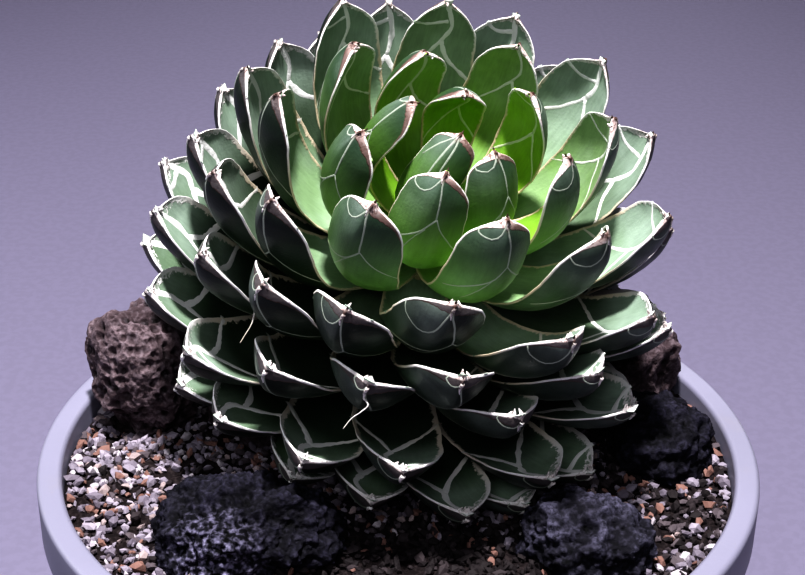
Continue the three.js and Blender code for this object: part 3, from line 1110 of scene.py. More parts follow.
@dataclass(frozen=True)
class Viewpoint:
    """Where the photograph was taken from, as its picture of the pot's round rim gives it."""

    width: int = 805
    height: int = 575
    focal: float = 1500.0
    distance: float = 660.0
    elevation: float = math.radians(32.4)
    pan: float = math.radians(-0.08)
    tilt: float = math.radians(5.8)
    roll: float = math.radians(-0.58)
    sensor: float = 36.0
    clip: Span = (0.01, 50.0)

    def axes(self) -> tuple[Vector, Vector, Vector, Vector]:
        """Works out the viewpoint's place and directions.

        Returns:
            The eye in millimetres, and the ways ahead, right and up.
        """
        eye = self.distance * Vector((0, -math.cos(self.elevation), math.sin(self.elevation)))
        ahead, right = -eye.normalized(), Vector((1, 0, 0))
        up = right.cross(ahead)
        turned = Matrix.Rotation(self.pan, 3, up)
        ahead, right = turned @ ahead, turned @ right
        turned = Matrix.Rotation(self.tilt, 3, right)
        ahead, up = turned @ ahead, turned @ up
        turned = Matrix.Rotation(self.roll, 3, ahead)
        right, up = turned @ right, turned @ up
        return eye + Vector((0, 0, POT_HEIGHT)), ahead, right, up

    def sight_line(self, pixel: Span) -> tuple[Array, Array]:
        """The line of sight through a pixel of the photograph.

        Args:
            pixel: its place, from the left and from the top.

        Returns:
            The eye, and the way the line goes.
        """
        eye, ahead, right, up = self.axes()
        across = (pixel[0] - self.width / 2) / self.focal
        above = (self.height / 2 - pixel[1]) / self.focal
        return np.array(eye), np.array((ahead + across * right + above * up).normalized())

    def make_camera(self) -> None:
        """Sets the scene's camera at the viewpoint."""
        eye, ahead, right, up = self.axes()
        data = bpy.data.cameras.new("camera")
        data.sensor_width = self.sensor
        data.lens = self.sensor * self.focal / self.width
        data.clip_start, data.clip_end = self.clip
        camera = bpy.data.objects.new("camera", data)
        bpy.context.scene.collection.objects.link(camera)
        turn = Matrix((right, up, -ahead)).transposed().to_4x4()
        camera.matrix_world = Matrix.Translation(eye * METRE) @ turn
        bpy.context.scene.camera = camera


@dataclass(frozen=True)
class Lamp:
    """One soft light: a square panel that looks at the plant, placed and sized in metres."""

    name: str
    place: Point
    size: float
    power: float
    colour: Colour

    def switch_on(self, target: Vector) -> None:
        """Hangs the panel and points it at the target.

        Args:
            target: the place that it looks at.
        """
        data = bpy.data.lights.new(self.name, "AREA")
        data.size, data.energy, data.color = self.size, self.power, self.colour
        lamp = bpy.data.objects.new(self.name, data)
        bpy.context.scene.collection.objects.link(lamp)
        place = Vector(self.place)
        turn = (target - place).to_track_quat("-Z", "Y").to_matrix().to_4x4()
        lamp.matrix_world = Matrix.Translation(place) @ turn


@dataclass(frozen=True)
class Studio:
    """A small key light overhead, weak fills from front, back and left, and a plain pale floor.

    Its places and lengths are in metres.
    """

    floor_half: float = 6.0
    floor_drop: float = 0.0004
    floor_colour: Colour = (0.168, 0.151, 0.227)
    floor_shade: float = 0.94
    floor_grain: Speckle = Speckle(160.0, 3.0, 0.4, 0.6)
    floor_roughness: float = 0.75
    sky_colour: Colour = (0.62, 0.60, 0.72)
    sky_strength: float = 0.09
    aim: Point = (0.0, 0.0, 0.24)
    lamps: tuple[Lamp, ...] = (
        Lamp("key", (-0.02, -0.22, 1.74), 0.12, 51.0, (1.0, 0.985, 0.965)),
        Lamp("front", (-0.2, -1.4, 1.5), 0.8, 8.5, (0.95, 0.97, 1.0)),
        Lamp("back", (0.1, 1.7, 0.8), 1.0, 3.5, (0.95, 0.97, 1.0)),
        Lamp("left", (-1.5, 0.45, 1.05), 0.7, 11.0, (0.94, 0.97, 1.0)),
    )

    def build(self) -> None:
        """Lights the scene and lays the floor."""
        for lamp in self.lamps:
            lamp.switch_on(Vector(self.aim))
        world = bpy.data.worlds.new("sky")
        world.use_nodes = True
        background = world.node_tree.nodes["Background"]
        background.inputs["Color"].default_value = (*self.sky_colour, 1)
        background.inputs["Strength"].default_value = self.sky_strength
        bpy.context.scene.world = world
        view = bpy.context.scene.view_settings
        view.view_transform, view.look = "Standard", "High Contrast"
        self.lay_floor()

    def lay_floor(self) -> None:
        """Lays a plain floor under the pot."""
        sheet = FinishSheet("pale_floor")
        shade = tuple(self.floor_shade * part for part in self.floor_colour)
        colour = sheet.mix(sheet.speckle(self.floor_grain), self.floor_colour, shade)
        mesh = bpy.data.meshes.new("floor")
        half = self.floor_half
        corners = ((-half, -half), (half, -half), (half, half), (-half, half))
        mesh.from_pydata([(*corner, -self.floor_drop) for corner in corners], [], [range(4)])
        mesh.materials.append(sheet.finish(colour, self.floor_roughness))
        floor = bpy.data.objects.new("floor", mesh)
        bpy.context.scene.collection.objects.link(floor)


# ---------------------------------------------------------------- the rosette


class Face(Enum):
    """The two faces of a leaf: the hollow one looks at the plant's tip, the keeled one away."""

    UPPER = 1.0
    LOWER = 0.0


@dataclass(frozen=True)
class Rosette:
    """The spiral rule that places the leaves, the same as the solids follow.

    The places that the photograph shows are pixels in it: the leaves' tips, and the loose threads
    of horn. A seen loop is how far down a leaf's tip its curled line reaches, in millimetres.
    """

    leaf_count: int = 100
    full_age_leaf: int = 84
    heart_count: int = 39
    back_from: float = 100.0
    divergence: float = math.radians(137.525)
    first_turn: float = math.radians(219.7)
    centre: Point = (12.3, 10.7, POT_HEIGHT + 101.7)
    lean_right: float = math.radians(13.4)
    lean_front: float = math.radians(25.1)
    open_from: float = math.radians(-14.4)
    open_to: float = math.radians(104.5)
    open_power: float = 0.4
    reach_outer: float = 113.0
    reach_growth: float = 54.0
    reach_span: float = 0.164
    tip_drop: float = 46.0
    soil_clearance: float = 12.5
    stem_top: float = 6.0
    stem_radius: float = 27.0
    stem_top_radius: float = 9.0
    stem_shoulder: float = 45.0
    stem_bottom: float = -158.0
    roots_top: float = 0.0
    roots_run: float = 77.0
    root_share: float = 0.55
    viewpoint: Viewpoint = field(default_factory=Viewpoint)
    seen_tips: dict[int, Span] = field(default_factory=lambda: {
        0: (464, 130), 1: (468, 97), 2: (493, 146), 3: (421, 102), 4: (528, 93), 5: (449, 167),
        6: (429, 53), 7: (565, 153), 8: (368, 128), 9: (519, 44), 10: (508, 213), 11: (360, 42),
        12: (612, 115), 13: (377, 199), 14: (450, -2), 15: (606, 228), 16: (282, 91),
        17: (604, 57), 18: (457, 300), 19: (345, -3), 20: (670, 212), 21: (275, 195),
        22: (518, 12), 23: (575, 335), 24: (248, 65), 25: (654, 131), 26: (348, 306),
        27: (390, -2), 28: (655, 312), 29: (216, 168), 31: (464, 375), 32: (280, 38),
        33: (672, 225), 34: (265, 280), 36: (602, 370), 37: (194, 132), 39: (370, 380),
        41: (672, 325), 42: (202, 250), 44: (523, 415), 45: (222, 84), 47: (268, 365),
        49: (636, 408), 50: (154, 207), 52: (405, 470), 55: (185, 350), 57: (556, 478),
        58: (162, 158), 60: (303, 460), 63: (146, 288), 65: (470, 515), 68: (217, 418),
        70: (595, 472), 71: (143, 238), 73: (373, 502), 76: (176, 384), 78: (530, 505),
        81: (292, 478),
    })
    seen_loops: dict[int, float] = field(default_factory=lambda: {
        5: 11.5, 10: 10.0, 13: 11.5, 18: 20.0, 23: 15.0, 15: 14.0, 7: 12.0, 26: 12.0,
    })
    seen_threads: dict[int, tuple[float, tuple[Span, ...]]] = field(default_factory=lambda: {
        39: (7.0, ((368, 405), (361, 412), (352, 418), (343, 429))),
        34: (17.0, ((253, 320), (250, 327), (245, 335), (240, 343))),
    })

    def turned(self) -> Array:
        """The rotation from the plant's own frame to the world's."""
        turn = Matrix.Rotation(self.lean_front, 3, "X") @ Matrix.Rotation(self.lean_right, 3, "Y")
        return np.array(turn)

    def to_world(self, points: Array) -> Array:
        """Takes points from the plant's frame to the world's."""
        return points @ self.turned().T + np.array(self.centre)

    def to_plant(self, points: Array) -> Array:
        """Takes points from the world's frame to the plant's."""
        return (points - np.array(self.centre)) @ self.turned()

    def age(self, number: int) -> float:
        """A leaf's age, from 0 for the youngest to 1 for a full-grown one."""
        return (number + 0.5) / self.full_age_leaf

    def turn(self, number: int) -> float:
        """The way that a leaf grows from the stem."""
        return self.first_turn - number * self.divergence

    def stem_radius_at(self, height: float) -> float:
        """The stem's radius at a height on the plant's axis.

        Args:
            height: millimetres up the axis.

        Returns:
            The radius in millimetres.
        """
        share = min(max((self.stem_top - height) / self.stem_shoulder, 0.0), 1.0)
        wider = self.stem_radius - self.stem_top_radius
        return self.stem_top_radius + wider * math.sin(share * math.pi / 2)

    def leaf_tip(self, number: int) -> Array | None:
        """The tip of a leaf: the rule's place, moved to the line of sight that shows it.

        Args:
            number: the leaf's place in the spiral, from the youngest.

        Returns:
            The tip in the plant's frame, or None for a leaf that has been taken off.
        """
        age, turn = self.age(number), self.turn(number)
        opening = self.open_from + (self.open_to - self.open_from) * age**self.open_power
        reach = self.reach_outer - self.reach_growth * math.exp(-age / self.reach_span)
        tip = self.to_world(np.array([
            reach * math.sin(opening) * math.cos(turn),
            reach * math.sin(opening) * math.sin(turn),
            reach * math.cos(opening) - self.tip_drop * age,
        ]))
        lowest = SOIL_LEVEL + self.soil_clearance
        pixel = self.seen_tips.get(number)
        if pixel is None:
            too_old = number >= self.full_age_leaf and tip[1] < self.back_from
            return None if tip[2] < lowest or too_old else self.to_plant(tip)
        eye, toward = self.viewpoint.sight_line(pixel)
        tip = eye + toward * max(float((tip - eye) @ toward), 0.0)
        if tip[2] < lowest:
            tip = tip + toward * (lowest - tip[2]) / toward[2]
        return self.to_plant(tip)


@dataclass(frozen=True)
class Stroke:
    """A pale line on a leaf, a low ridge that is half sunk in its face.

    Its path gives millimetres down from the tip and shares of the half width.
    """

    face: Face
    path: tuple[Span, ...]
    width: float
    end_width: float
    strength: float = 1.0


@dataclass
class Leaf:
    """One leaf: hollow above, keeled below, with a horny margin, drawn lines and a dark spine."""

    number: int
    tip: Array
    rosette: Rosette
    full_width: float = 38.0
    young_width_share: float = 0.52
    width_growth_age: float = 0.2
    full_thickness: float = 8.5
    young_thickness_share: float = 0.5
    thickness_growth_age: float = 0.35
    full_cup: float = 4.5
    margin_thickness: float = 0.6
    margin_share: float = 0.3
    tightest_wrap: float = 12.0
    widest_skew: float = math.radians(60)
    belly_middle: float = 0.185
    belly_young: float = 0.1
    belly_span: float = 0.22
    belly_fade: float = 0.045
    stations: tuple[float, ...] = (
        0.03, 0.3, 0.6, 0.8, 0.865, 0.905, 0.935, 0.955, 0.968, 0.978, 0.988)
    widths: tuple[float, ...] = (0.62, 0.8, 1.0, 0.94, 0.85, 0.72, 0.53, 0.33, 0.165, 0.075, 0.04)
    depths: tuple[float, ...] = (0.5, 0.75, 1.0, 1.05, 1.0, 0.88, 0.72, 0.58, 0.44, 0.32, 0.22)
    cups: tuple[float, ...] = (0.1, 0.35, 0.75, 1.0, 1.0, 0.86, 0.62, 0.40, 0.20, 0.08, 0.0)
    keels: tuple[float, ...] = (2.0, 1.9, 1.7, 1.45, 1.35, 1.3, 1.3, 1.3, 1.4, 1.5, 1.6)
    path_steps: int = 401
    side_waves: tuple[Point, ...] = ((0.012, 2.9, 40.0), (0.010, 1.3, 70.0))
    least_half: float = 0.2
    probe: float = 0.4
    bead_reach: float = 7.0
    bead_side: float = 0.07
    bead_tip: Span = (0.25, 0.35)
    bead_crinkle: Span = (0.7, 0.9)
    bead_inset: float = 0.75
    bead_width: Span = (0.6, 0.9)
    dent_height: float = 0.25
    tip_rows: tuple[Point, ...] = ((1.6, 7.4, 0.65), (7.6, 18.0, 1.35), (18.5, 50.0, 3.9))
    base_rows: tuple[float, float, int] = (53.0, 0.97, 6)
    rim_columns: tuple[float, ...] = (0.0, 0.3, 0.65, 1.05, 1.6, 2.3)
    rim_for_half: float = 5.0
    inner_columns: tuple[float, ...] = (0.16, 0.34, 0.52, 0.68, 0.82, 0.92, 0.98)
    margin_bulge: float = 0.15
    stroke_step: float = 2.0
    stroke_shape: tuple[Point, ...] = (
        (-0.54, -0.07, 0.0), (-0.42, 0.05, 0.95), (0.0, 0.13, 1.0), (0.42, 0.05, 0.95),
        (0.54, -0.07, 0.0), (0.0, -0.45, 0.0))
    spine_radii: tuple[float, ...] = (1.1, 1.15, 1.1, 0.95, 0.78, 0.6, 0.42, 0.25, 0.08)
    spine_darks: tuple[float, ...] = (0.0, 0.0, 0.1, 0.35, 0.8, 1.0, 1.0, 1.0, 1.0)
    spine_length: float = 4.6
    spine_radius: float = 0.95
    thread_radius: float = 0.26
    thread_lift: float = 1.5
    thread_dark: float = 0.42

    def __post_init__(self) -> None:
        """Works out the leaf's path from its root to its tip."""
        plant = self.rosette
        self.age = plant.age(self.number)
        self.draws = np.random.default_rng(7100 + self.number)
        self.draw = float(self.draws.random())
        self.root_turn = plant.turn(self.number)
        root_height = plant.roots_top - plant.roots_run * self.age
        self.root = np.array([plant.root_share * plant.stem_radius_at(root_height), root_height])
        x, y, z = self.tip
        self.end = np.array([math.hypot(x, y), z])
        self.tip_turn = math.atan2(y, x)
        whole = 2 * math.pi
        self.tip_turn += whole * math.floor((self.root_turn - self.tip_turn) / whole + 0.5)
        if abs(self.tip_turn - self.root_turn) > self.widest_skew:
            self.tip_turn = self.root_turn
            self.end[0] = x * math.cos(self.root_turn) + y * math.sin(self.root_turn)
        span = self.end - self.root
        length = float(np.linalg.norm(span))
        below = np.array([span[1], -span[0]]) / length
        belly = self.belly_middle - self.belly_fade * self.age**4
        belly += self.belly_young * math.exp(-((self.age / self.belly_span) ** 2))
        self.middle = (self.root + self.end) / 2 + 2 * belly * length * below
        grown = min(1.0, math.sqrt(self.age / self.width_growth_age))
        share = self.young_width_share
        self.half = self.full_width / 2 * (share + (1 - share) * grown)
        grown = min(1.0, self.age / self.thickness_growth_age)
        share = self.young_thickness_share
        self.thickness = self.full_thickness * (share + (1 - share) * grown)
        self.cup = self.full_cup * min(1.0, self.age / self.width_growth_age)
        self.along_table = along = np.linspace(0, 1, self.path_steps)
        steps = np.linalg.norm(np.diff(self.place(along, 0 * along, 0 * along), axis=0), axis=1)
        walked = np.concatenate([[0], np.cumsum(steps)])
        self.down_table = walked[-1] - walked
        self.length = float(self.down_table[0])

    def along_at(self, down: Array) -> Array:
        """The share of the leaf's path at a distance from the tip."""
        return np.interp(-np.asarray(down), -self.down_table, self.along_table)

    def down_at(self, along: Array) -> Array:
        """The distance from the tip at a share of the leaf's path."""
        return np.interp(along, self.along_table, self.down_table)

    def place(self, along: Array, across: Array, up: Array) -> Array:
        """Takes places on the leaf to the world.

        Args:
            along: shares of the leaf's path, from its root.
            across: millimetres to the side, round the plant's axis.
            up: millimetres above the path, toward the upper face.

        Returns:
            The points.
        """
        s = np.asarray(along)[..., None]
        path = self.root * (1 - s) ** 2 + self.middle * 2 * s * (1 - s) + self.end * s * s
        ahead = unit((self.middle - self.root) * (1 - s) + (self.end - self.middle) * s)
        turn = self.root_turn + (self.tip_turn - self.root_turn) * np.asarray(along)
        wrap = np.maximum(path[..., 0], self.tightest_wrap)
        bend = turn + across / wrap
        out = wrap - up * ahead[..., 1]
        inner = path[..., 0] - wrap
        return self.rosette.to_world(np.stack([
            inner * np.cos(turn) + out * np.cos(bend),
            inner * np.sin(turn) + out * np.sin(bend),
            path[..., 1] + up * ahead[..., 0],
        ], axis=-1))

    def half_width(self, along: Array) -> Array:
        """Half the leaf's width at a share of its path, in millimetres."""
        down = self.down_at(along)
        wave = sum(high * np.sin(down / long + shift * self.draw)
                   for high, long, shift in self.side_waves)
        return self.half * curve_through(along, self.stations, self.widths) * (1 + wave)

    def rise(self, along: Array, share: Array, face: Face) -> Array:
        """How far a face stands above the leaf's path.

        Args:
            along: shares of the path.
            share: places across, from -1 at one margin to 1 at the other.
            face: which face.

        Returns:
            Heights in millimetres.
        """
        deep = self.thickness * curve_through(along, self.stations, self.depths)
        hollow = self.cup * curve_through(along, self.stations, self.cups) * share**2
        if face is Face.UPPER:
            return hollow
        keel = curve_through(along, self.stations, self.keels)
        edge = np.minimum(self.margin_thickness, self.margin_share * deep)
        return hollow - edge - (deep - edge) * (1 - np.abs(share) ** keel)

    def relief(self, down: Array, across: Array, edge: Array, face: Face) -> Array:
        """The soft dents of a face and the swelling of its horny margin, in millimetres.

        Args:
            down: millimetres from the tip.
            across: millimetres to the side.
            edge: millimetres from the margin.
            face: which face.

        Returns:
            How far the face stands up for them.
        """
        flat = np.stack(np.broadcast_arrays(across, down, 7.0 * self.number), axis=-1)
        near_tip = np.exp(-((down / self.bead_reach) ** 2))
        young, more = self.bead_tip
        swell = self.bead_side + (young + more * min(1.0, self.age)) * near_tip
        least, uneven = self.bead_crinkle
        crinkle = least + uneven * smooth_noise(flat, 1.9, 31 + self.number)
        wide = self.bead_width[0] + self.bead_width[1] * near_tip
        bead = swell * crinkle * np.exp(-(((edge - self.bead_inset) / wide) ** 2))
        dents = self.dent_height * smooth_noise(flat, 9.0, 57 + self.number)
        dents = dents * np.clip(edge / 3.0, 0, 1)
        return dents + (bead if face is Face.UPPER else -bead)

    def spot(self, down: Array, across: Array, face: Face) -> Array:
        """A point on a face, from its distance from the tip and its millimetres across."""
        along = self.along_at(down)
        half = np.maximum(self.half_width(along), self.least_half)
        up = self.rise(along, np.clip(across / half, -1, 1), face)
        up = up + self.relief(down, across, np.maximum(half - np.abs(across), 0), face)
        return self.place(along, across, up)

    def outward(self, down: Array, across: Array, face: Face) -> Array:
        """The way that a face looks at a point, by small steps along and across it."""
        step = self.probe
        ahead = self.spot(down - step, across, face) - self.spot(down + step, across, face)
        aside = self.spot(down, across + step, face) - self.spot(down, across - step, face)
        way = unit(np.cross(ahead, aside))
        return -way if face is Face.LOWER else way

    def kind(self, count: int, upper: Array | float) -> Array:
        """The leaf's age and draw, with the face, for each of its points."""
        return np.stack([
            np.full(count, min(self.age, 1.0)), np.full(count, self.draw),
            np.broadcast_to(upper, (count,)),
        ], axis=-1)

    def add_blade(self, draft: MeshDraft) -> None:
        """Adds the blade, a closed skin round both faces and the margin between them."""
        base_from, base_share, base_count = self.base_rows
        downs = np.concatenate([
            *(np.arange(*rows) for rows in self.tip_rows),
            np.linspace(base_from, base_share * self.length, base_count),
        ])
        along = self.along_at(downs)[::-1]
        down, half = self.down_at(along), self.half_width(along)[:, None]
        scale = np.minimum(1.0, half / self.rim_for_half)
        rim = np.array([self.rim_columns]) * scale
        inner = rim[:, -1:] + (half - rim[:, -1:]) * np.array([self.inner_columns])
        from_rim = np.concatenate([rim, inner, half], axis=1)
        side = half - from_rim
        across = np.concatenate([-side, side[:, -2::-1]], axis=1)
        edge = np.concatenate([from_rim, from_rim[:, -2::-1]], axis=1)
        grid = np.broadcast_to(along[:, None], across.shape)
        downs = np.broadcast_to(down[:, None], across.shape)
        top, bottom = (
            self.rise(grid, across / half, face) + self.relief(downs, across, edge, face)
            for face in (Face.UPPER, Face.LOWER))
        middle = (top + bottom) / 2
        out = self.margin_bulge * scale
        rings = np.concatenate([
            self.place(grid, across, top),
            self.place(grid[:, :1], across[:, -1:] + out, middle[:, -1:]),
            self.place(grid, across, bottom)[:, ::-1],
            self.place(grid[:, :1], across[:, :1] - out, middle[:, :1]),
        ], axis=1)
        width = across.shape[1]
        upper = np.concatenate([np.ones(width), [0.5], np.zeros(width), [0.5]])
        zero = np.zeros((len(along), 1))
        blade = np.stack([
            np.concatenate([across, across[:, -1:], across[:, ::-1], across[:, :1]], axis=1),
            np.concatenate([downs, downs[:, :1], downs, downs[:, :1]], axis=1),
            np.concatenate([edge, zero, edge[:, ::-1], zero], axis=1),
        ], axis=-1)
        count = rings.shape[0] * rings.shape[1]
        faces = [group[:, ::-1] for group in closed_tube(rings)]
        draft.add(rings, faces, blade=blade, kind=self.kind(count, np.tile(upper, len(along))),
                  trim=np.zeros((count, 3)))

    def add_stroke(self, draft: MeshDraft, stroke: Stroke) -> None:
        """Adds a pale line as a low ridge, half sunk in its face.

        Args:
            draft: the leaf's mesh.
            stroke: where the line runs, and how wide it is.
        """
        path = np.array(stroke.path, float)
        lengths = np.hypot(np.diff(path[:, 0]), np.diff(path[:, 1] * self.half))
        places = np.concatenate([[0], np.cumsum(lengths)])
        at = np.linspace(0, places[-1], max(6, int(places[-1] / self.stroke_step)))
        down = curve_through(at, places, path[:, 0])
        share = curve_through(at, places, path[:, 1])
        wander = np.stack([at, np.full_like(at, 3.7 * self.number), 0 * at], axis=-1)
        across = share * self.half_width(self.along_at(down))
        across = across + 0.25 * smooth_noise(wander, 4.5, 91 + self.number)
        middle = self.spot(down, across, stroke.face)
        normal = self.outward(down, across, stroke.face)
        ahead = unit(np.gradient(middle, axis=0))
        aside = unit(np.cross(normal, ahead))
        wide = np.interp(at, [0, 0.6 * places[-1], places[-1]],
                         [stroke.width, 0.85 * stroke.width, stroke.end_width])
        uneven = 0.35 if stroke.face is Face.UPPER else 0.2
        wide = wide * (1 + uneven * smooth_noise(wander, 2.6, 17 + self.number))
        shape = self.stroke_shape
        rings = np.stack([
            middle + aside * (wide * offset)[:, None] + normal * lift for offset, lift, _ in shape
        ], axis=1)
        for end, way in ((0, -1), (-1, 1)):
            tail = rings[end] + ahead[end] * (0.4 * way * wide[end]) - 0.35 * normal[end]
            rings = np.concatenate([tail[None], rings] if end == 0 else [rings, tail[None]])
        across, down = (np.concatenate([row[:1], row, row[-1:]]) for row in (across, down))
        count = rings.shape[0] * rings.shape[1]
        mark = stroke.strength * np.tile([value for _, _, value in shape], len(rings))
        blade = np.stack([np.repeat(across, len(shape)), np.repeat(down, len(shape)),
                          np.full(count, 30.0)], axis=-1)
        trim = np.stack([mark, 0 * mark, 0 * mark], axis=-1)
        draft.add(rings, closed_tube(rings), blade=blade,
                  kind=self.kind(count, stroke.face.value), trim=trim)

    def add_cone(self, draft: MeshDraft, path: Array, radii: Array, value: Array,
                 rough: float = 0.0, sides: int = 8) -> None:
        """Adds a tapered rod, such as a spine, a spur or a ridge of horn.

        Args:
            draft: the leaf's mesh.
            path: the points that it follows.
            radii: its radius at each.
            value: how dark a spine it is at each, from 0 for white horn to 1.
            rough: how uneven it is, as a share of the radius.
            sides: the number of its sides.
        """
        ahead = unit(np.gradient(path, axis=0))
        start = np.where(np.abs(ahead[:, 2:]) > 0.9, np.array([1.0, 0, 0]), UP)
        aside = unit(np.cross(ahead, start))
        above = np.cross(aside, ahead)
        angle = full_turn(sides)[:, None]
        around = aside[:, None] * np.cos(angle) + above[:, None] * np.sin(angle)
        uneven = 1 + rough * smooth_noise(path[:, None] + 1.5 * around, 1.3, 5 + self.number)
        rings = path[:, None] + around * (radii[:, None] * uneven)[..., None]
        count = len(path) * sides
        down = np.linalg.norm(path - self.rosette.to_world(self.tip), axis=1)
        blade = np.stack([np.zeros(count), np.repeat(down, sides), np.zeros(count)], axis=-1)
        trim = np.stack([np.zeros(count), np.ones(count), np.repeat(value, sides)], axis=-1)
        draft.add(rings, [group[:, ::-1] for group in closed_tube(rings)], blade=blade,
                  kind=self.kind(count, 0.5), trim=trim)

    def add_tip(self, draft: MeshDraft) -> None:
        """Adds the dark spine and the ridges of horn that run from it down the leaf."""
        down = np.linspace(self.spine_length, 0.05, len(self.spine_radii))
        height = self.rise(self.along_at(down), 0 * down, Face.LOWER) / 2
        path = self.place(self.along_at(down), 0 * down, height * down / self.spine_length)
        radii = self.spine_radius * np.array(self.spine_radii)
        grown = min(1.0, 1.6 * self.age)
        dark = np.array(self.spine_darks) * (1 - 0.75 * grown)
        self.add_cone(draft, path, radii, dark, rough=0.12)
        for side in (-1, 1):
            reach = 5.0 + 3.0 * self.draws.random() + 4.0 * grown
            down = np.linspace(2.2, reach, 12)
            along = self.along_at(down)
            across = side * np.maximum(self.half_width(along) - 0.55, 0)
            share = across / np.maximum(self.half_width(along), self.least_half)
            up = (self.rise(along, share, Face.UPPER) + self.rise(along, share, Face.LOWER)) / 2
            thick = 0.24 + 0.12 * grown
            radii = np.interp(down, [2.2, 4.0, reach], [0.8 * thick, thick, 0.3])
            self.add_cone(draft, self.place(along, across, up), radii, 0 * down, rough=0.55)
        reach = 4.0 + 2.0 * self.draws.random() + 3.0 * grown
        down = np.linspace(2.4, reach, 8)
        path = self.spot(down, 0.3 * np.sin(down), Face.LOWER)
        thick = 0.6 + 0.35 * grown
        dark = np.linspace(0.95, 0.15, 8) * (1 - grown)
        self.add_cone(draft, path, np.linspace(thick, 0.2, 8), dark, rough=0.45)
        for _ in range(int(self.draws.integers(0, 2) + round(4 * grown))):
            self.add_spur(draft)

    def add_thread(self, draft: MeshDraft, rooted: float,
                   pixels: Sequence[Span]) -> None:
        """Adds a loose dry thread, which hangs from the keel where the photograph shows it.

        Args:
            draft: the leaf's mesh.
            rooted: how far down the keel it comes off, in millimetres from the tip.
            pixels: places that the thread passes, in the photograph.
        """
        root = self.spot(np.array([rooted]), np.array([0.0]), Face.LOWER)[0]
        path = [root]
        for pixel in pixels:
            eye, toward = self.rosette.viewpoint.sight_line(pixel)
            path.append(eye + toward * (float((root - eye) @ toward) - self.thread_lift))
        path = np.array(path)
        at = np.linspace(0, len(path) - 1, 5 * len(path))
        knots = range(len(path))
        smooth = np.stack([curve_through(at, knots, column) for column in path.T], axis=-1)
        radii = self.thread_radius * np.interp(at, [0, at[-1]], [1.3, 0.7])
        self.add_cone(draft, smooth, radii, 0 * at + self.thread_dark, rough=0.3, sides=6)

    def add_spur(self, draft: MeshDraft) -> None:
        """Adds a small white tooth on the horn near the tip."""
        side = -1 if self.draws.random() < 0.5 else 1
        down = np.array([2.4 + 2.6 * self.draws.random()])
        across = side * self.draws.uniform(0.1, 0.7) * self.half_width(self.along_at(down))
        foot = self.spot(down, across, Face.UPPER)[0]
        up = self.outward(down, 0.3 * across, Face.UPPER)[0]
        ahead = unit(self.rosette.to_world(self.tip) - foot)
        way = unit(up * self.draws.uniform(0.2, 1.0) + ahead * self.draws.uniform(0.0, 1.0))
        length = self.draws.uniform(1.2, 2.2 + 1.2 * min(1.0, self.age))
        share = np.linspace(-0.25, 1, 6)
        path = foot + way * (share * length)[:, None] + 0.25 * UP * (share**2)[:, None]
        radii = np.interp(share, [-0.25, 0, 0.6, 1], [1.0, 0.9, 0.5, 0.1])
        self.add_cone(draft, path, radii, 0 * share, rough=0.35, sides=6)

    def strokes(self) -> list[Stroke]:
        """The pale lines that the neighbours' margins pressed on this leaf in the bud.

        Returns:
            The lines of both faces.
        """
        draw = self.draws.random
        split = 16.0 + 8.0 * draw() + 4.0 * min(1.0, self.age * 3)
        lean = 0.24 + 0.16 * (draw() - 0.5)
        low = split + 15 + 6 * draw()
        lines = [
            Stroke(Face.LOWER, ((2.6, 0.0), (0.5 * split, 0.7 * lean), (split, lean)), 0.9, 0.7),
            Stroke(Face.LOWER, ((split, lean), (split + 0.45 * (low - split), 0.45 + 0.5 * lean),
                                (low, 0.99)), 0.62, 0.5),
            Stroke(Face.LOWER, ((split, lean), (split + 6, lean - 0.22), (split + 13, lean - 0.62),
                                (split + 21, max(lean - 1.05, -0.97))), 0.85, 0.6),
            Stroke(Face.LOWER, ((split + 5, lean - 0.18), (split + 14, lean - 0.42),
                                (split + 24, lean - 0.60)), 0.6, 0.3, 0.8),
        ]
        loop = self.rosette.seen_loops.get(self.number, 6.0 + 4.5 * draw())
        lines.append(Stroke(Face.LOWER, ((2.6, -0.10), (0.75 * loop, -0.22), (loop, -0.50),
                                         (0.97 * loop, -0.78), (0.8 * loop, -0.99)), 0.8, 0.6))
        if self.number == 0:
            paths = [((2.4, side * 0.1), (9.0, side * 0.11), (26.0, side * 0.16))
                     for side in (-1, 1)]
            lines = [Stroke(Face.LOWER, path, 1.0, 0.6) for path in paths]
            lines.append(Stroke(Face.LOWER, ((2.4, -0.2), (8.0, -0.42), (17.0, -0.75)), 0.9, 0.7))
        joint = 20.0 + 9.0 * draw()
        bend = 0.28 + 0.2 * (draw() - 0.5)
        wide = 1.1 + 0.8 * draw() + 2.4 * min(1.0, 1.8 * self.age)
        plain = 0.5 + 0.5 * min(1.0, 4.0 * self.age)
        lines += [
            Stroke(Face.UPPER, ((2.2, 0.0), (7.0, -0.7 * bend), (0.65 * joint, -bend),
                                (joint, -0.4 * bend)), wide, 0.8 * wide, plain),
            Stroke(Face.UPPER, ((joint, -0.4 * bend), (joint + 8, -0.35), (joint + 15, -0.97)),
                   0.9 * wide, 0.8 * wide, plain),
            Stroke(Face.UPPER, ((joint, -0.4 * bend), (joint + 10, 0.28), (joint + 22, 0.97)),
                   0.75 * wide, 0.5 * wide, plain),
        ]
        if draw() < 0.6:
            cross = 9.0 + 5.0 * draw()
            lines.append(Stroke(Face.UPPER, ((cross, -0.6 * bend), (cross + 2.0, 0.35),
                                             (cross - 1.5, 0.98)), 0.7 * wide, 0.6 * wide, plain))
        return lines

    def draw_into(self, draft: MeshDraft) -> None:
        """Adds the whole leaf to a mesh."""
        self.add_blade(draft)
        for stroke in self.strokes():
            self.add_stroke(draft, stroke)
        self.add_tip(draft)
        if self.number in self.rosette.seen_threads:
            self.add_thread(draft, *self.rosette.seen_threads[self.number])


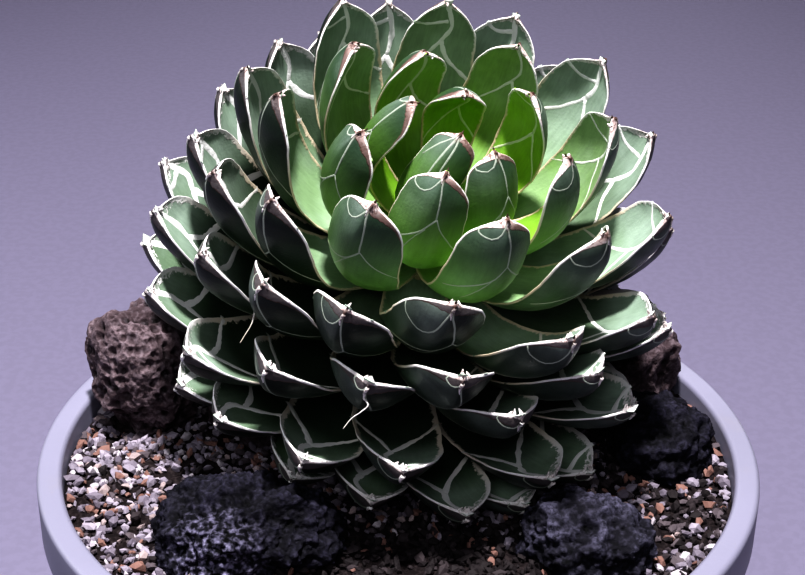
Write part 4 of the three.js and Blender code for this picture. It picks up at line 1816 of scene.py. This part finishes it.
@dataclass
class Plant:
    """The rosette and its stem."""

    rosette: Rosette
    # The heart's greens are the young leaves' own yellow-green, raised as painted glow of light
    # through them.
    heart_finish: LeafFinish = LeafFinish(
        "heart_skin", back_green=(0.115, 0.212, 0.094), back_tip=(0.024, 0.050, 0.029),
        back_base=(0.13, 0.25, 0.045), front_green=(0.23, 0.305, 0.24),
        front_base=(0.16, 0.32, 0.022), back_young=(0.14, 0.29, 0.022),
        front_young=(0.25, 0.47, 0.018),
    )
    leaf_finish: LeafFinish = LeafFinish(
        "leaf_skin", back_green=(0.016, 0.037, 0.020), back_tip=(0.009, 0.018, 0.013),
        back_base=(0.050, 0.092, 0.026), front_green=(0.235, 0.315, 0.245),
        front_base=(0.10, 0.19, 0.075), back_young=(0.03, 0.08, 0.03),
        front_young=(0.18, 0.32, 0.14),
    )
    stem_finish: StemFinish = StemFinish()
    bud_count: int = 19
    spear_foot: float = 3.0
    spear_length: float = 38.0
    spear_radius: float = 8.2
    spear_stations: tuple[float, ...] = (0.0, 0.25, 0.6, 0.85, 1.0)
    spear_radii: tuple[float, ...] = (1.0, 0.95, 0.7, 0.36, 0.05)
    spear_overlap: float = 0.14
    spear_turns: float = 0.7
    spear_rows: int = 26
    spear_sides: int = 28
    spear_aside: float = 6.0
    spear_kind: Point = (0.0, 0.5, 0.0)
    stem_sides: int = 72
    stem_rows: int = 90
    scar_depth: float = 1.3
    scar_wave: float = 4.2
    scar_zigzag: float = 0.8
    scar_corners: int = 3
    bark_share: float = 0.5
    bark_size: float = 5.0

    def build(self) -> None:
        """Builds the heart, the grown leaves and the stem."""
        plant = self.rosette
        tips = {n: plant.leaf_tip(n) for n in range(plant.leaf_count)}
        grown = {n: Leaf(n, tip, plant) for n, tip in tips.items() if tip is not None}
        young_skin = self.heart_finish.make()
        for name, first, last in (("heart_bud", 0, self.bud_count),
                                  ("heart_leaves", self.bud_count, plant.heart_count)):
            heart = MeshDraft()
            for number in range(first, last):
                grown[number].draw_into(heart)
            if first == 0:
                self.add_spear(heart)
            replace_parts(heart.build(name, young_skin), "heart")
            log.info("%s: %d leaves, %d points", name, last - first, heart.count)
        skin = self.leaf_finish.make()
        for number, leaf in grown.items():
            if number >= plant.heart_count:
                draft = MeshDraft()
                leaf.draw_into(draft)
                name = f"leaf_{number:02d}"
                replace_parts(draft.build(name + "_grown", skin), name)
        log.info("grown leaves: %d pieces", len(grown) - plant.heart_count)
        self.build_stem()

    def add_spear(self, draft: MeshDraft) -> None:
        """Adds the furled leaves at the plant's very tip, wound round one another.

        Args:
            draft: the mesh of the youngest leaves.
        """
        share = np.linspace(0, 1, self.spear_rows)[:, None]
        angle = full_turn(self.spear_sides)
        wound = (angle / (2 * np.pi) + self.spear_turns * share) % 1.0
        radius = self.spear_radius * curve_through(share, self.spear_stations, self.spear_radii)
        radius = radius * (1 - self.spear_overlap + self.spear_overlap * wound)
        places = turned_rings(radius, angle, self.spear_length * share + self.spear_foot)
        down = np.broadcast_to(self.spear_length * (1 - share), wound.shape)
        edge = 2 * np.pi * radius * np.minimum(wound, 1 - wound)
        blade = np.stack([np.full_like(down, self.spear_aside), down, edge], axis=-1)
        draft.add(self.rosette.to_world(places), closed_tube(places), blade=blade,
                  kind=np.tile(self.spear_kind, (wound.size, 1)), trim=np.zeros((wound.size, 3)))

    def build_stem(self) -> None:
        """Builds the stem, ringed with the scars of the leaves that it has shed."""
        plant = self.rosette
        heights = np.linspace(plant.stem_bottom, plant.stem_top, self.stem_rows)[:, None]
        angle = full_turn(self.stem_sides)
        radius = np.array([[plant.stem_radius_at(height)] for height in heights[:, 0]])
        zigzag = self.scar_zigzag * np.sin(self.scar_corners * angle)
        rings = np.abs(np.sin(heights / self.scar_wave + zigzag))
        bark = smooth_noise(turned_rings(radius, angle, heights), self.bark_size, 3)
        rough = (1 - self.bark_share) * rings + self.bark_share * bark
        points = turned_rings(radius + self.scar_depth * (rough - 1), angle, heights)
        draft = MeshDraft()
        draft.add(plant.to_world(points), closed_tube(points), relief=rough)
        piece = draft.build("stem_scarred", self.stem_finish.make())
        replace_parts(piece, "stem")
        log.info("stem_scarred: %d points", draft.count)


# ---------------------------------------------------------------- the pot and what lies in it


@dataclass(frozen=True)
class Stone:
    """One lava stone, as its solid has it: place, radii, height, turn, lean and lumps."""

    name: str
    at: Span
    size: Point
    up: float
    turn: float
    lean: float
    knobs: float
    seed: int
    fine_steps: int = 5
    clumps: float = 0.0
    pores: float = 2.6
    # Where a painted highlight is centred on the stone, and how far it reaches.
    dusted_at: Point = (0.0, 0.0, -99.0)
    dusted_reach: float = 15.0
    lump_waves: int = 7
    lump_pace: float = 4.4
    lump_pace_step: float = 0.4
    lump_height: float = 0.55
    lump_fade: float = 0.55
    draw_factor: int = 1664525
    draw_shift: int = 1013904223

    def drawn(self) -> Callable[[], float]:
        """A repeatable stream of draws, the same as the solid's."""
        state = self.seed

        def draw() -> float:
            """Draws the next value."""
            nonlocal state
            state = (state * self.draw_factor + self.draw_shift) & WORD
            return state / (WORD + 1)

        return draw

    def lump(self, ways: Array) -> Array:
        """The height of the solid's lumps along each way out of the stone."""
        draw = self.drawn()
        total = np.zeros(len(ways))
        for k in range(self.lump_waves):
            way = unit(np.array([draw() - 0.5, draw() - 0.5, draw() - 0.5]))
            shift = 2 * math.pi * draw()
            pace = self.lump_pace * (1 + self.lump_pace_step * k)
            high = self.lump_height / (1 + self.lump_fade * k)
            total += high * np.sin(pace * (ways @ way) + shift)
        return total

    def build(self, finish: bpy.types.Material, slot: str) -> None:
        """Builds the stone with its broken crests and pores.

        Args:
            finish: its material.
            slot: not used.
        """
        ball = bpy.data.meshes.new("ball")
        shape = bmesh.new()
        bmesh.ops.create_icosphere(shape, subdivisions=self.fine_steps, radius=1.0)
        shape.to_mesh(ball)
        shape.free()
        ways = np.empty(len(ball.vertices) * 3, np.float32)
        ball.vertices.foreach_get("co", ways)
        ways = unit(ways.reshape(-1, 3).astype(float))
        corners = np.empty(len(ball.loops), np.int32)
        ball.loops.foreach_get("vertex_index", corners)
        bpy.data.meshes.remove(ball)
        base = np.array(self.size) * ways + ways * (self.knobs * self.lump(ways))[:, None]
        broken = 1 - 2 * np.abs(smooth_noise(base, 13.0, self.seed))
        craggy = smooth_noise(base, 5.5, self.seed + 1)
        pores = np.clip(1 - pore_distance(base, 5.2, self.seed + 2) / 0.52, 0, 1)
        small = np.clip(1 - pore_distance(base, 2.6, self.seed + 3) / 0.55, 0, 1)
        grain = smooth_noise(base, 1.5, self.seed + 4)
        clumps = 1 - 2 * pore_distance(base + 0.8 * craggy[:, None], 4.6, self.seed + 5)
        knots = 1 - 2 * pore_distance(base, 2.2, self.seed + 6)
        height = 1.5 * broken + 1.0 * craggy - self.pores * pores**0.7 - 0.9 * small
        height += 0.35 * grain + self.clumps * (clumps + 0.45 * knots)
        points = base + ways * height[:, None]
        turn = Matrix.Rotation(math.radians(self.turn), 3, "Z")
        lean = Matrix.Rotation(math.radians(self.lean), 3, "Y")
        points = points @ np.array(turn @ lean).T
        # Points near that place get the painted highlight.
        far = np.linalg.norm(points - np.array(self.dusted_at), axis=-1) / self.dusted_reach
        points += np.array([*self.at, SOIL_LEVEL + self.up])
        relief = np.clip((height + 3.2) / 5.4, 0, 1)
        draft = MeshDraft()
        draft.add(points, [corners.reshape(-1, 3)], relief=relief, dusted=np.clip(1.6 - far, 0, 1))
        piece = draft.build(self.name + "_lava", finish)
        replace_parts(piece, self.name)
        log.info("%s_lava: %d points", self.name, draft.count)


@dataclass
class Rockery:
    """The six lava stones that lie in the grit."""

    brown: StoneFinish = StoneFinish(
        "stone_brown", pore_painted_shade=(0.006, 0.0045, 0.005), body=(0.058, 0.040, 0.046),
        crest=(0.205, 0.155, 0.175), dust=(0.40, 0.33, 0.38), dust_share=0.30)
    black: StoneFinish = StoneFinish(
        "stone_black", pore_painted_shade=(0.0015, 0.0015, 0.002), body=(0.0050, 0.0046, 0.0075),
        crest=(0.024, 0.022, 0.038), dust=(0.40, 0.37, 0.56), dust_share=0.05)
    grey: StoneFinish = StoneFinish(
        "stone_grey", pore_painted_shade=(0.002, 0.002, 0.003), body=(0.010, 0.0094, 0.0145),
        crest=(0.078, 0.074, 0.112), dust=(0.40, 0.37, 0.56), dust_share=0.10)
    brown_stones: tuple[Stone, ...] = (
        Stone("stone_tall_left", (-115, 31), (23, 20, 34), 25, 10, -8, 3.4, 11, fine_steps=7),
        Stone("stone_low_left", (-63, 24), (23, 17, 17), 8, -6, 0, 3.0, 12),
        Stone("stone_back_right", (112, 54), (18, 14, 26), 16, 0, 4, 2.4, 16),
    )
    black_stones: tuple[Stone, ...] = (
        Stone("stone_front_left", (-61, -66), (38, 25, 22), 8, 8, 0, 3.6, 20, fine_steps=7,
              clumps=1.5, pores=1.4, dusted_at=(-10.0, -20.0, 0.0)),
        Stone("stone_right", (115, 6), (24, 24, 20), 7, 20, 0, 2.6, 15, fine_steps=6,
              clumps=1.3, pores=1.0),
    )
    grey_stones: tuple[Stone, ...] = (
        Stone("stone_front_right", (76, -66), (28, 21, 18), 6, -12, 0, 3.0, 14, fine_steps=6,
              clumps=1.4, pores=1.0),
    )
    covered_share: float = 0.72

    def build(self) -> None:
        """Builds the stones."""
        for finish, slot, stones in ((self.brown, "stone_brown", self.brown_stones),
                                     (self.black, "stone_black", self.black_stones),
                                     (self.grey, "stone_black", self.grey_stones)):
            made = finish.make()
            for stone in stones:
                stone.build(made, slot)

    def covers(self, x: float, y: float) -> bool:
        """Whether a place on the soil is under a stone."""
        for stone in (*self.brown_stones, *self.black_stones, *self.grey_stones):
            far = math.hypot((x - stone.at[0]) / stone.size[0], (y - stone.at[1]) / stone.size[1])
            if far < self.covered_share:
                return True
        return False


@dataclass
class SoilBed:
    """The fill of the pot, with its swell, and the grit that lies on it."""

    inner: float = 144.2
    foot: float = 104.7
    floor: float = 9.3
    knee: float = 160.3
    swell: float = 1.0
    swell_x: float = 103.0
    swell_y: float = 119.0
    ripple: float = 31.0
    ripple_share: float = 0.5
    ripple_slant: float = 0.6
    rings: int = 90
    sides: int = 230
    crumb_height: float = 0.8
    grain_count: int = 7200
    rusty_share: float = 0.06
    rusty_pick: float = 0.83
    # A patch in front of the plant whose grains are made near black: painted shadow.
    painted_shadow_x: float = 12.0
    painted_shadow_y: float = -92.0
    painted_shadow_wide: float = 62.0
    painted_shadow_deep: float = 42.0
    smallest: float = 1.15
    largest: float = 2.7
    finish: SoilFinish = SoilFinish()
    grit_finish: GritFinish = GritFinish()

    def level(self, x: Array, y: Array) -> Array:
        """The height of the soil, the same as the solid's."""
        def wave(place: Array, length: float) -> Array:
            """A wave of a height of 1 along a line."""
            return np.sin(2 * np.pi * place / length)

        swell = self.swell * wave(x, self.swell_x) * wave(y, self.swell_y)
        ripple = self.ripple_share * self.swell * wave(x - self.ripple_slant * y, self.ripple)
        return SOIL_LEVEL + swell + ripple

    def build(self, rockery: Rockery) -> None:
        """Builds the soil and scatters the grit.

        Args:
            rockery: the stones, under which no grain is laid.
        """
        angle = full_turn(self.sides)
        outline = [(0.5, self.floor), (self.foot, self.floor), (self.inner, self.knee)]
        wall = [turned_rings(radius, angle, height) for radius, height in outline]
        top = []
        for share in np.linspace(1, 0.004, self.rings):
            x, y = self.inner * share * np.cos(angle), self.inner * share * np.sin(angle)
            flat = np.stack([x, y, 0 * x], axis=-1)
            crumbs = smooth_noise(flat, 3.1, 8) + 0.6 * smooth_noise(flat, 1.4, 9) - 0.8
            top.append(np.stack([x, y, self.level(x, y) + self.crumb_height * crumbs], axis=-1))
        rings = np.stack([*wall, *top])
        draft = MeshDraft()
        draft.add(rings, closed_tube(rings))
        piece = draft.build("soil_bed", self.finish.make())
        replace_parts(piece, "soil")
        log.info("soil_bed: %d points", draft.count)
        self.scatter(rockery)

    def scatter(self, rockery: Rockery) -> None:
        """Scatters angular grains over the soil."""
        draws = np.random.default_rng(4021)
        corners, faces = rough_ball()
        draft = MeshDraft()
        laid = 0
        while laid < self.grain_count:
            radius = self.inner * math.sqrt(draws.uniform(0.03, 1))
            angle = draws.uniform(0, 2 * math.pi)
            size = self.smallest + (self.largest - self.smallest) * draws.random() ** 2.2
            radius = min(radius, self.inner - size - 0.4)
            x, y = radius * math.cos(angle), radius * math.sin(angle)
            if rockery.covers(x, y):
                continue
            laid += 1
            shape = corners * (1 + 0.22 * draws.standard_normal((len(corners), 1)).clip(-1.5, 1.5))
            shape = shape * np.array([1.25, 0.95, 0.7]) * draws.uniform(0.8, 1.2, 3) * size
            turned = draws.uniform(0, 6.28)
            turn = np.array(Matrix.Rotation(turned, 3, Vector(draws.normal(size=3))))
            height = float(self.level(np.array(x), np.array(y))) + size * draws.uniform(-0.2, 0.75)
            points = shape @ turn.T + np.array([x, y, height])
            # Grains in the patch in front of the plant go near black: painted shadow.
            painted_shadow = math.hypot((x - self.painted_shadow_x) / self.painted_shadow_wide,
                              (y - self.painted_shadow_y) / self.painted_shadow_deep)
            # Grains get darker toward the right: partly the grit's own darker mix, partly painted
            # shade.
            pick = draws.random() ** np.interp(x, (-40.0, 80.0), (0.95, 3.2))
            pick *= 0.08 if painted_shadow < draws.uniform(0.75, 1.15) else 1.0
            pick = self.rusty_pick if draws.random() < self.rusty_share else pick
            draft.add(points, [faces], pick=np.full(len(points), pick))
        draft.build("grit", self.grit_finish.make(), smooth=False)
        log.info("grit: %d grains, %d points", laid, draft.count)


def rough_ball() -> tuple[Array, Array]:
    """The 12 corners and 20 faces of a ball that is made uneven for each grain."""
    golden = (1 + math.sqrt(5)) / 2
    corners = []
    for a, b in itertools.product((-1, 1), (-golden, golden)):
        corners += [(a, b, 0), (0, a, b), (b, 0, a)]
    corners = unit(np.array(corners, float))
    faces = []
    near = 2 / math.hypot(1, golden) + TINY
    for i, j, k in itertools.combinations(range(12), 3):
        trio = corners[[i, j, k]]
        if max(np.linalg.norm(trio[0] - trio[1]), np.linalg.norm(trio[1] - trio[2]),
               np.linalg.norm(trio[2] - trio[0])) < near:
            outward = np.dot(np.cross(trio[1] - trio[0], trio[2] - trio[0]), trio.sum(axis=0)) > 0
            faces.append((i, j, k) if outward else (i, k, j))
    return corners, np.array(faces)


@dataclass
class Pot:
    """A turned pot with a soft flat rim, a collar under it and holes through its floor."""

    rim_radius: float = 155.0
    rim_width: float = 10.5
    rounding: float = 2.4
    collar_height: float = 24.0
    collar_ease: float = 1.0
    knee_height: float = 160.0
    wall: float = 7.0
    foot_radius: float = 112.0
    floor_thickness: float = 9.0
    drain_radius: float = 6.0
    drain_circle: float = 58.0
    drain_count: int = 4
    sides: int = 256
    corner_steps: int = 8
    finish: PotFinish = PotFinish()

    def corner(self, x: float, z: float, first: float, last: float) -> list[Span]:
        """A rounded corner of the profile, turned from one angle to another in degrees."""
        angles = np.radians(np.linspace(first, last, self.corner_steps))
        return [(x + self.rounding * math.cos(a), z + self.rounding * math.sin(a)) for a in angles]

    def profile(self) -> list[Span]:
        """The outline of the wall as radius and height, from the foot up and back down inside."""
        inner = self.rim_radius - self.rim_width
        knee = inner + self.wall
        shoulder = POT_HEIGHT - self.collar_height
        outline = [(0.5, 0.0), (self.foot_radius - 12, 0.0)]
        outline += self.corner(self.foot_radius - self.rounding, self.rounding, -90, -15)
        for share in np.linspace(0.1, 1, 12):
            outline.append((self.foot_radius + (knee - self.foot_radius) * share,
                            self.rounding + (self.knee_height - self.rounding) * share))
        outline += [(knee, shoulder - 0.6), (knee + 0.5, shoulder),
                    (self.rim_radius - self.collar_ease, shoulder),
                    (self.rim_radius - 0.2, shoulder + 0.5),
                    (self.rim_radius, shoulder + self.collar_ease + 0.6),
                    (self.rim_radius, shoulder + 12)]
        outline += self.corner(self.rim_radius - self.rounding, POT_HEIGHT - self.rounding, 0, 90)
        outline += self.corner(inner + self.rounding, POT_HEIGHT - self.rounding, 90, 180)
        outline += [(inner, self.knee_height + 1), (inner - 0.3, self.knee_height - 1)]
        return outline + [(self.foot_radius - self.wall, self.floor_thickness),
                          (0.5, self.floor_thickness)]

    def build(self) -> None:
        """Builds the pot and drills its floor."""
        angle = full_turn(self.sides)
        rings = np.stack([turned_rings(radius, angle, height) for radius, height in self.profile()])
        wave = 0.12 * smooth_noise(rings, 46.0, 71)
        inside = np.linalg.norm(rings[..., :2], axis=-1) < self.rim_radius - 1
        rings = rings + np.where(inside & (rings[..., 2] > POT_HEIGHT - 1), wave, 0)[..., None] * UP
        rings[..., 2] = np.clip(rings[..., 2], 0, POT_HEIGHT)
        draft = MeshDraft()
        draft.add(rings, closed_tube(rings))
        piece = draft.build("pot_turned", self.finish.make())
        self.drill(piece)
        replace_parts(piece, "pot")
        log.info("pot_turned: %d points", len(piece.data.vertices))

    def drill(self, piece: bpy.types.Object) -> None:
        """Cuts the drain holes through the floor, and keeps the result as the pot's mesh."""
        drills = []
        for k in range(self.drain_count):
            angle = 2 * math.pi * (k + 0.5) / self.drain_count
            bpy.ops.mesh.primitive_cylinder_add(
                vertices=48, radius=self.drain_radius * METRE,
                depth=4 * self.floor_thickness * METRE,
                location=(self.drain_circle * math.cos(angle) * METRE,
                          self.drain_circle * math.sin(angle) * METRE, 0))
            drill = bpy.context.object
            cut = piece.modifiers.new("drain", "BOOLEAN")
            cut.operation, cut.object, cut.solver = "DIFFERENCE", drill, "EXACT"
            drills.append(drill)
        bpy.context.view_layer.update()
        graph = bpy.context.evaluated_depsgraph_get()
        drilled = bpy.data.meshes.new_from_object(piece.evaluated_get(graph))
        piece.modifiers.clear()
        piece.data = drilled
        for drill in drills:
            bpy.data.objects.remove(drill)


def main() -> None:
    """Builds the scene piece by piece."""
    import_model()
    viewpoint = Viewpoint()
    viewpoint.make_camera()
    Studio().build()
    log.info("camera and studio are set")
    Pot().build()
    rockery = Rockery()
    rockery.build()
    SoilBed().build(rockery)
    Plant(Rosette(viewpoint=viewpoint)).build()


if __name__ == "__main__":
    logging.basicConfig(level=logging.INFO, format="%(name)s: %(message)s")
    main()
